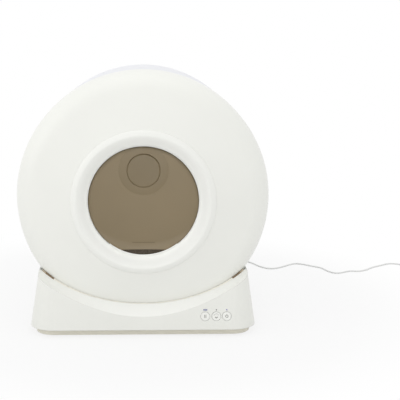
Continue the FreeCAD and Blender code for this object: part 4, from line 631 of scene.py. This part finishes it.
def make_felt(name, profile, first, last, finish):
    """A length of the strip between two angles from straight down."""
    count = round((last - first) / FELT_STEP)
    sections = [felt_section(profile, first + FELT_STEP * number) for number in range(count + 1)]
    mesh = bmesh.new()
    add_strip(mesh, [[mesh.verts.new(corner) for corner in section] for section in sections if section])
    strip = add_object(name, closed_data(name, mesh))
    strip.data.materials.append(FINISHES[finish])
    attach(strip, "base")


def make_felts():
    """The strip is pale along its middle; its brown ends and their lighter tips are painted shade, for the
    wider gap towards the cradle's horns.
    """
    profile = drum_profile()
    make_felt("felt_middle", profile, -FELT_PALE_END, FELT_PALE_END, "felt_pale")
    make_felt("felt_painted_shade_right", profile, -FELT_BROWN_END, -FELT_PALE_END, "felt_brown_painted_shade")
    make_felt("felt_tip_painted_shade_right", profile, -FELT_END, -FELT_BROWN_END, "felt_tan_painted_shade")
    make_felt("felt_painted_shade_left", profile, FELT_PALE_END, FELT_BROWN_END, "felt_brown_painted_shade")
    make_felt("felt_tip_painted_shade_left", profile, FELT_BROWN_END, FELT_END, "felt_tan_painted_shade")


# Prints: small generic marks on the buttons and the left light's bar; and painted shade, a dark strip in
# the engraved fill line in the drum

BASE_FRONT = -0.260
BASE_BOTTOM = 0.0155
DRAFT = math.radians(8.8)
BUTTON_LEVEL = 0.0437
BUTTON_PROUD = 0.0004
BUTTONS = {"left": 0.1286, "middle": 0.1518, "right": 0.1737}
BUTTON_STROKE = 0.0013
DARK_STROKE = 0.0022
THIN_STROKE = 0.0006
PRINT_THICK = 0.0002
PRINT_SUNK = 0.00005
LIGHT_LEVEL = 0.057
LIGHT_BAR = 0.0085
LIGHT_BAR_HIGH = 0.0026
FILL_MARK_LEVEL = 0.103
FILL_MARK_DEPTH = 0.1558
FILL_MARK_HALF = 0.0278
FILL_MARK_HIGH = 0.0022
LEFT_BAR = [(-0.0014, -0.0036), (-0.0014, 0.0034)]
RIGHT_BAR = [(0.0014, -0.0036), (0.0014, 0.0034)]
ARROW_HEAD = [(-0.0028, -0.0016), (0, -0.0036), (0.0028, -0.0016)]
ARROW_ARC = (0.0052, 20, 160)
OPEN_RING = (0.0027, 125, 415)
RING_BAR = [(0, 0.0004), (0, 0.0042)]
ARC_STEPS = 24


def face_frame(across, level, proud):
    """Where a mark stands on the drafted front face: x to the right, y up the face, z outwards."""
    along = BASE_FRONT + (level - BASE_BOTTOM) * math.tan(DRAFT)
    outward = Vector((0, -math.cos(DRAFT), math.sin(DRAFT)))
    upward = Vector((0, math.sin(DRAFT), math.cos(DRAFT)))
    turned = Matrix((Vector((1, 0, 0)), upward, outward)).transposed().to_4x4()
    return Matrix.Translation(Vector((across, along, level)) + outward * proud) @ turned


def add_stroke(mesh, width, outline):
    """A thin raised line along a flat outline."""
    spots = [Vector((*spot, 0)) for spot in outline]
    lift = Vector((0, 0, PRINT_THICK))
    rows = []
    for number, spot in enumerate(spots):
        ahead = spots[min(number + 1, len(spots) - 1)] - spots[max(number - 1, 0)]
        aside = Vector((-ahead.y, ahead.x, 0)).normalized() * width / 2
        corners = (spot - aside, spot - aside + lift, spot + aside + lift, spot + aside)
        rows.append([mesh.verts.new(corner) for corner in corners])
    add_strip(mesh, rows)


def add_print(name, strokes, place, finish, body):
    """A mark made of strokes, each with its width and its outline."""
    mesh = bmesh.new()
    for width, outline in strokes:
        add_stroke(mesh, width, outline)
    mark = add_object(name, closed_data(name, mesh))
    mark.matrix_world = place
    mark.data.materials.append(FINISHES[finish])
    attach(mark, body)


def arc_line(radius, start, end):
    """Points along an arc, its ends given in degrees."""
    spots = []
    for number in range(ARC_STEPS + 1):
        angle = math.radians(start + (end - start) * number / ARC_STEPS)
        spots.append((radius * math.cos(angle), radius * math.sin(angle)))
    return spots


def make_prints():
    """Two bars, an arrow head under an arc and a bar in an open ring, then the two straight lines: the
    light's bar, and the painted shade in the fill line.
    """
    marks = {
        "left": [(BUTTON_STROKE, LEFT_BAR), (BUTTON_STROKE, RIGHT_BAR)],
        "middle": [(DARK_STROKE, ARROW_HEAD), (THIN_STROKE, arc_line(*ARROW_ARC))],
        "right": [(BUTTON_STROKE, arc_line(*OPEN_RING)), (BUTTON_STROKE, RING_BAR)],
    }
    for name, strokes in marks.items():
        place = face_frame(BUTTONS[name], BUTTON_LEVEL, BUTTON_PROUD - PRINT_SUNK)
        add_print(f"button_mark_{name}", strokes, place, "mark", f"button_body_{name}")
    bar = [(-LIGHT_BAR / 2, 0), (LIGHT_BAR / 2, 0)]
    place = face_frame(BUTTONS["left"], LIGHT_LEVEL, -PRINT_SUNK)
    add_print("light_bar", [(LIGHT_BAR_HIGH, bar)], place, "light_blue", "base")
    # the fill line: a dark strip of painted shade at the bottom of the engraved line
    line = [(-FILL_MARK_HALF, 0), (FILL_MARK_HALF, 0)]
    place = Matrix.Translation((0, FILL_MARK_DEPTH, FILL_MARK_LEVEL)) @ Matrix.Rotation(math.pi / 2, 4, "X")
    add_print("engraved_line_shade", [(FILL_MARK_HIGH, line)], place, "fill_mark", "drum")


# Floor, backdrop and light

FLOOR_SIZE = 30
FLOOR_GREY = 0.80
SHADOW_SHARE = 0.20
SHADOW_START = 0.45
SHADOW_END = 0.75
WORLD_LIGHT = 0.92
LAMPS = {
    "top_softbox": ((-0.4, -0.5, 2.6), (2.4, 2.4), 6),
    "front_softbox": ((-0.2, -3.3, 1.1), (2.2, 1.5), 7),
    "side_softbox": ((-2.6, -1.2, 1.4), (1.6, 1.8), 6.5),
}
ENTRY_LAMP_DISTANCE = 2.14
ENTRY_LAMP_POWER = 108
ENTRY_LAMP_RADIUS = 0.01
ENTRY_LAMP_BLEND = 0.03
ENTRY_LAMP_REACH = 0.1172
THROAT_CENTRE = Vector((0, -0.229, AXIS_HEIGHT))


def seen_rays(tree):
    """1 for the rays that show a surface: straight from the camera, mirrored, or through glass."""
    rays = tree.nodes.new("ShaderNodeLightPath")
    seen = rays.outputs["Is Camera Ray"]
    for kind in ("Is Glossy Ray", "Is Transmission Ray"):
        either = tree.nodes.new("ShaderNodeMath")
        either.operation = "MAXIMUM"
        tree.links.new(seen, either.inputs[0])
        tree.links.new(rays.outputs[kind], either.inputs[1])
        seen = either.outputs[0]
    return seen


def make_floor():
    """Pale floor that keeps the shadow round the object and is white further off."""
    mesh = bmesh.new()
    bmesh.ops.create_grid(mesh, x_segments=1, y_segments=1, size=FLOOR_SIZE / 2)
    data = bpy.data.meshes.new("floor")
    mesh.to_mesh(data)
    mesh.free()
    floor = add_object("floor", data)
    mat = bpy.data.materials.new("floor")
    mat.use_nodes = True
    tree = mat.node_tree
    tree.nodes.clear()
    out = tree.nodes.new("ShaderNodeOutputMaterial")
    paint = tree.nodes.new("ShaderNodeBsdfDiffuse")
    paint.inputs["Color"].default_value = (FLOOR_GREY, FLOOR_GREY, FLOOR_GREY, 1)
    glow = tree.nodes.new("ShaderNodeEmission")
    place = tree.nodes.new("ShaderNodeTexCoord")
    reach = tree.nodes.new("ShaderNodeVectorMath")
    reach.operation = "LENGTH"
    white = tree.nodes.new("ShaderNodeMapRange")
    white.interpolation_type = "SMOOTHSTEP"
    white.inputs["From Min"].default_value = SHADOW_START
    white.inputs["From Max"].default_value = SHADOW_END
    white.inputs["To Min"].default_value = 1 - SHADOW_SHARE
    share = tree.nodes.new("ShaderNodeMath")
    share.operation = "MULTIPLY"
    both = tree.nodes.new("ShaderNodeMixShader")
    tree.links.new(place.outputs["Object"], reach.inputs[0])
    tree.links.new(reach.outputs["Value"], white.inputs["Value"])
    tree.links.new(seen_rays(tree), share.inputs[0])
    tree.links.new(white.outputs["Result"], share.inputs[1])
    tree.links.new(share.outputs[0], both.inputs["Fac"])
    tree.links.new(paint.outputs[0], both.inputs[1])
    tree.links.new(glow.outputs[0], both.inputs[2])
    tree.links.new(both.outputs[0], out.inputs["Surface"])
    floor.data.materials.append(mat)


def make_world():
    """White where it is seen, a little dimmer as a light."""
    world = bpy.data.worlds.new("studio")
    bpy.context.scene.world = world
    world.use_nodes = True
    tree = world.node_tree
    tree.nodes.clear()
    out = tree.nodes.new("ShaderNodeOutputWorld")
    light = tree.nodes.new("ShaderNodeBackground")
    light.inputs["Strength"].default_value = WORLD_LIGHT
    white = tree.nodes.new("ShaderNodeBackground")
    white.inputs["Color"].default_value = (1, 1, 1, 1)
    light.inputs["Color"].default_value = (1, 1, 1, 1)
    mix = tree.nodes.new("ShaderNodeMixShader")
    tree.links.new(seen_rays(tree), mix.inputs["Fac"])
    tree.links.new(light.outputs[0], mix.inputs[1])
    tree.links.new(white.outputs[0], mix.inputs[2])
    tree.links.new(mix.outputs[0], out.inputs["Surface"])


def add_lamp(name, kind, spot, ahead, power):
    """A lamp at a spot, facing ahead."""
    data = bpy.data.lights.new(name, kind)
    data.energy = power
    lamp = add_object(name, data)
    lamp.location = spot
    lamp.rotation_mode = "QUATERNION"
    lamp.rotation_quaternion = ahead.to_track_quat("-Z", "Y")
    return lamp


def make_lamps():
    """Three soft boxes round the object, and a narrow lamp that lights the drum's inside."""
    middle = Vector((0, 0, AXIS_HEIGHT))
    for name, (spot, size, power) in LAMPS.items():
        box = add_lamp(name, "AREA", spot, middle - Vector(spot), power)
        box.data.shape = "RECTANGLE"
        box.data.size, box.data.size_y = size
    spot = THROAT_CENTRE - CAMERA_AHEAD * ENTRY_LAMP_DISTANCE
    lamp = add_lamp("entry_lamp", "SPOT", spot, CAMERA_AHEAD, ENTRY_LAMP_POWER)
    lamp.data.shadow_soft_size = ENTRY_LAMP_RADIUS
    lamp.data.spot_blend = ENTRY_LAMP_BLEND
    lamp.data.spot_size = 2 * math.atan(ENTRY_LAMP_REACH / ENTRY_LAMP_DISTANCE)
    # the cone is as flat as the round throat looks from there
    lamp.scale = (1, math.cos(CAMERA_ELEVATION), 1)


def store_sizes():
    """Brings the scene's placements up to date."""
    bpy.context.view_layer.update()


make_camera()
make_lead()
finish_nodes()
make_entry_ring()
make_cap_painted_shade()
make_felts()
make_prints()
make_floor()
make_world()
make_lamps()
bpy.context.scene.view_settings.view_transform = "Standard"
store_sizes()
